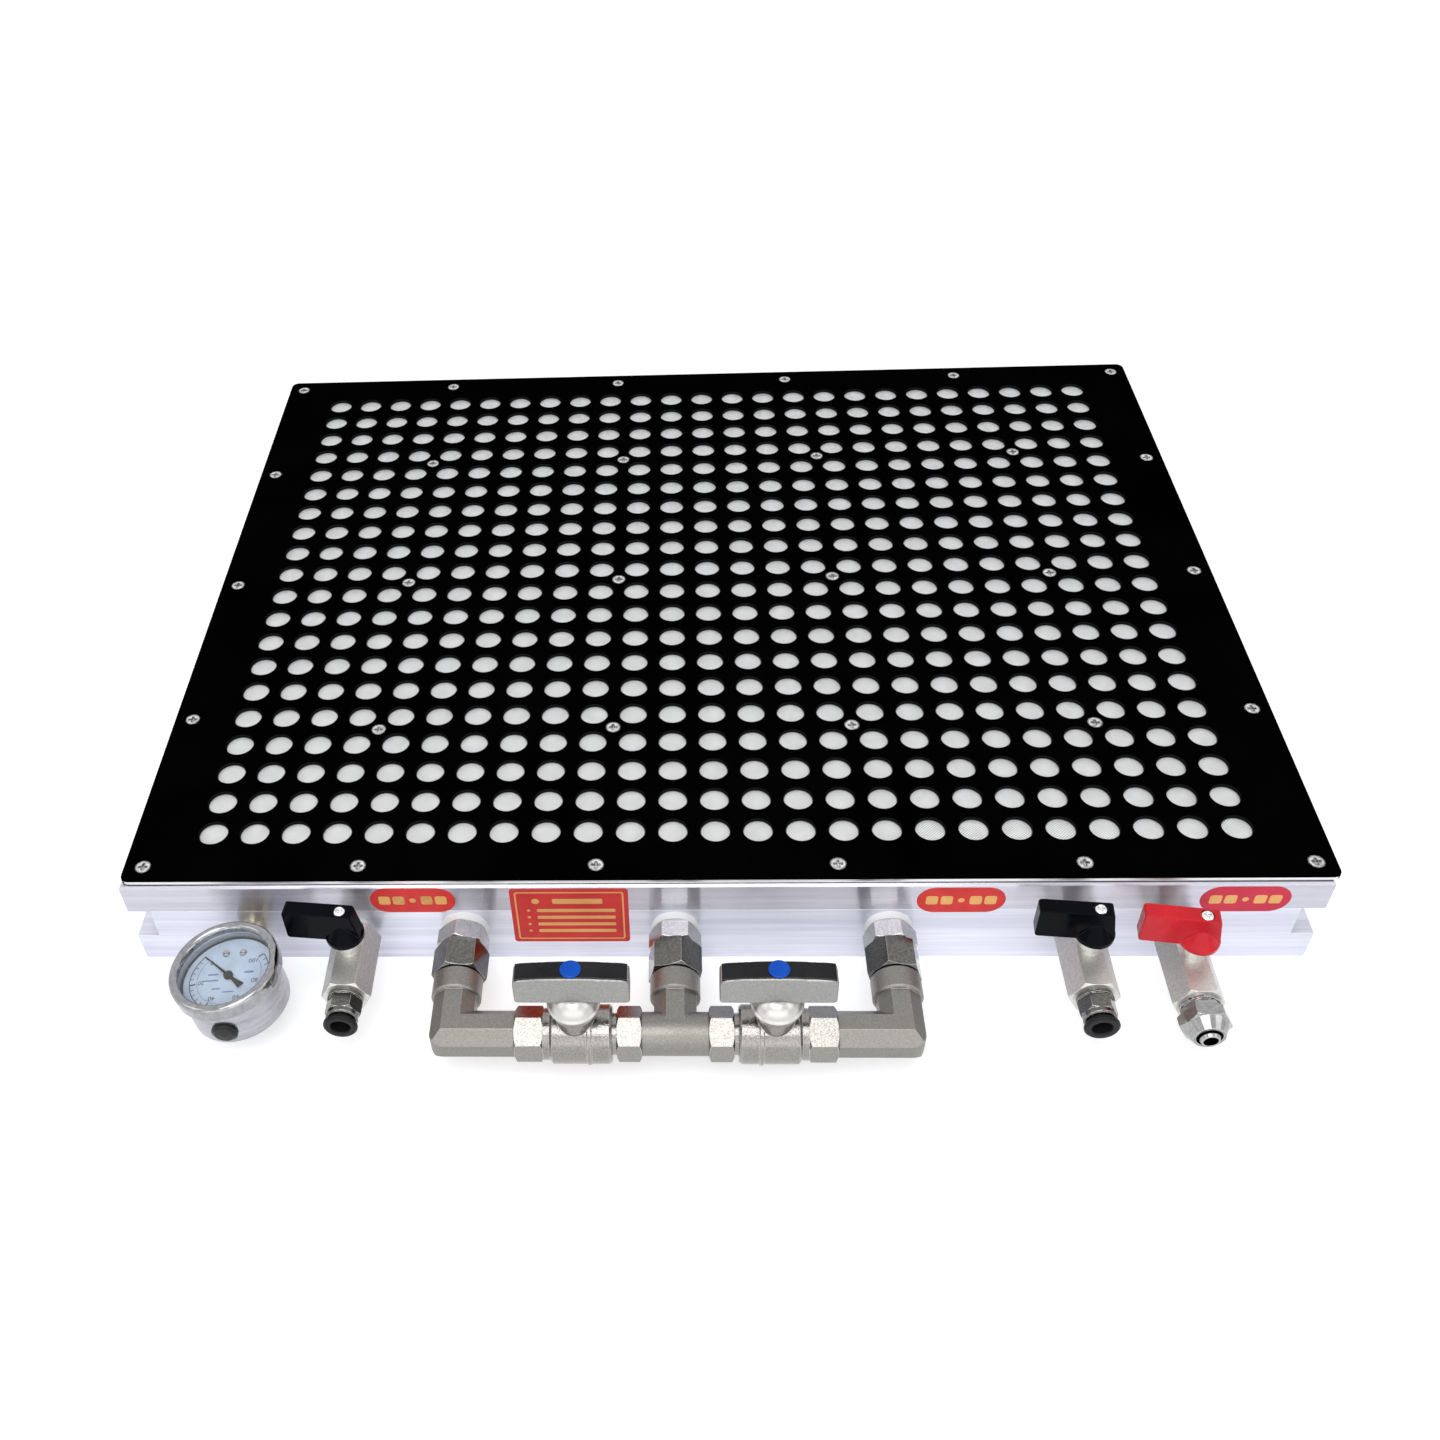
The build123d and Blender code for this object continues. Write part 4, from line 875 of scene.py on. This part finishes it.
def makeDialPrint():
    shape = bmesh.new()
    place = gaugePlace()
    low = gaugeSet["face"]
    high = low + gaugeSet["ink"]
    arcBand(shape, *gaugeSet["innerArc"], low, high, place)
    for x, y, width, height in gaugeSet["bars"]:
        plain = roundedBar(width, height, height * gaugeSet["barCorner"])
        bar = [(px + x, py + y) for px, py in plain]
        addSlab(shape, bar, low, high, place)
    return finishShape(shape, "gauge_print", ("printBlue",))


def makeDialScrews():
    shape = bmesh.new()
    place = gaugePlace()
    low = gaugeSet["face"]
    radius = gaugeSet["screwRadius"]
    height = gaugeSet["screwHeight"]
    half = gaugeSet["screwSlot"] / 2
    first = math.asin(half / radius)
    step = low + height * gaugeSet["screwStep"]
    crown = radius * gaugeSet["screwTop"]
    steps = gaugeSet["screwSteps"]
    for x, y in gaugeSet["screws"]:
        spot = place @ Matrix.Translation((x, y, 0))
        addSlab(shape, circleOf(radius), low, step, spot)
        for side in (0.0, math.pi):
            angles = [side + first + (math.pi - 2 * first) * part / steps for part in range(steps + 1)]
            outline = [(crown * math.cos(a), crown * math.sin(a)) for a in angles]
            addSlab(shape, outline, step, low + height, spot)
    return finishShape(shape, "gauge_dial_screws", ("panelScrew",))


makeScale()
makeDialPrint()
makeDialScrews()
print("gauge face made")

# Plain studio: a pale floor, a broad lamp above, a low wide one in front and a small one at each side
studioSet = {
    "horizon": (0.05, 0.6),
    "floorDrop": 0.0002,
    "glowFrom": (0.5, 1.6),
    "skyLow": (0.06, 0.065, 0.08),
    "skyHigh": (0.64, 0.66, 0.69),
    "skyStrength": 0.8,
    "floor": (0.84, 0.84, 0.84),
    "floorGlow": (0.45, 0.98),
    "floorSize": 4.0,
    "lamps": (
        {"name": "lampAbove", "place": (-0.1, -0.7, 1.25), "aim": (0, -0.15, 0), "size": (0.9, 0.9),
         "power": 7.0},
        {"name": "lampFront", "place": (0, -1.5, 0.55), "aim": (0, -0.25, 0.03), "size": (2.6, 0.8),
         "power": 6.0},
        {"name": "lampLeft", "place": (-1.3, -0.6, 0.9), "aim": (0, -0.1, 0), "size": (0.7, 0.7),
         "power": 1.5},
        {"name": "lampRight", "place": (1.3, -0.6, 0.9), "aim": (0, -0.1, 0), "size": (0.7, 0.7),
         "power": 1.5},
    ),
}


def makeWorld():
    world = bpy.data.worlds.new("studio")
    bpy.context.scene.world = world
    world.use_nodes = True
    tree = world.node_tree
    out = tree.nodes["World Output"]
    soft = tree.nodes["Background"]
    soft.inputs["Strength"].default_value = studioSet["skyStrength"]
    place = put(tree, "ShaderNodeTexCoord")
    split = put(tree, "ShaderNodeSeparateXYZ")
    join(tree, place.outputs["Generated"], split.inputs[0])
    height = mapped(tree, split.outputs["Z"], 0.0, 1.0, *studioSet["horizon"])
    join(tree, mixed(tree, height, studioSet["skyLow"], studioSet["skyHigh"]), soft.inputs["Color"])
    white = put(tree, "ShaderNodeBackground", {"Color": (1, 1, 1, 1), "Strength": 1.0})
    seen = put(tree, "ShaderNodeLightPath")
    choose = put(tree, "ShaderNodeMixShader")
    direct = maths(tree, "MAXIMUM", seen.outputs["Is Camera Ray"], seen.outputs["Is Glossy Ray"])
    direct = maths(tree, "MAXIMUM", direct, seen.outputs["Is Transmission Ray"])
    join(tree, direct, choose.inputs[0])
    join(tree, soft.outputs[0], choose.inputs[1])
    join(tree, white.outputs[0], choose.inputs[2])
    join(tree, choose.outputs[0], out.inputs["Surface"])


def makeFloor():
    half = studioSet["floorSize"]
    shape = bmesh.new()
    corners = ((-half, -half), (half, -half), (half, half), (-half, half))
    shape.faces.new([shape.verts.new((x, y, -studioSet["floorDrop"])) for x, y in corners])
    mesh = bpy.data.meshes.new("floor")
    shape.to_mesh(mesh)
    shape.free()
    material, tree, shader = newMaterial("paleFloor", {"Roughness": 0.9, "Specular IOR Level": 0.0})
    shader.inputs["Base Color"].default_value = colour(studioSet["floor"])
    glow = put(tree, "ShaderNodeEmission")
    place = put(tree, "ShaderNodeTexCoord")
    reach = put(tree, "ShaderNodeVectorMath", operation="LENGTH")
    join(tree, place.outputs["Object"], reach.inputs[0])
    near, far = studioSet["floorGlow"]
    strength = mapped(tree, reach.outputs["Value"], near, far, *studioSet["glowFrom"])
    join(tree, strength, glow.inputs["Strength"])
    nothing = put(tree, "ShaderNodeEmission", {"Strength": 0.0})
    seen = put(tree, "ShaderNodeLightPath")
    direct = maths(tree, "MAXIMUM", seen.outputs["Is Camera Ray"], seen.outputs["Is Glossy Ray"])
    direct = maths(tree, "MAXIMUM", direct, seen.outputs["Is Transmission Ray"])
    choose = put(tree, "ShaderNodeMixShader")
    join(tree, direct, choose.inputs[0])
    join(tree, nothing.outputs[0], choose.inputs[1])
    join(tree, glow.outputs[0], choose.inputs[2])
    both = put(tree, "ShaderNodeAddShader")
    join(tree, shader.outputs[0], both.inputs[0])
    join(tree, choose.outputs[0], both.inputs[1])
    join(tree, both.outputs[0], tree.nodes["Material Output"].inputs["Surface"])
    mesh.materials.append(material)
    floor = bpy.data.objects.new("floor", mesh)
    bpy.context.scene.collection.objects.link(floor)


def makeLamps():
    for given in studioSet["lamps"]:
        data = bpy.data.lights.new(given["name"], "AREA")
        data.shape = "RECTANGLE"
        data.size, data.size_y = given["size"]
        data.energy = given["power"]
        lamp = bpy.data.objects.new(given["name"], data)
        bpy.context.scene.collection.objects.link(lamp)
        lamp.location = given["place"]
        towards = Vector(given["aim"]) - Vector(given["place"])
        lamp.rotation_euler = towards.to_track_quat("-Z", "Y").to_euler()


makeWorld()
makeFloor()
makeLamps()
bpy.context.scene.view_settings.view_transform = "Standard"
print("studio made")
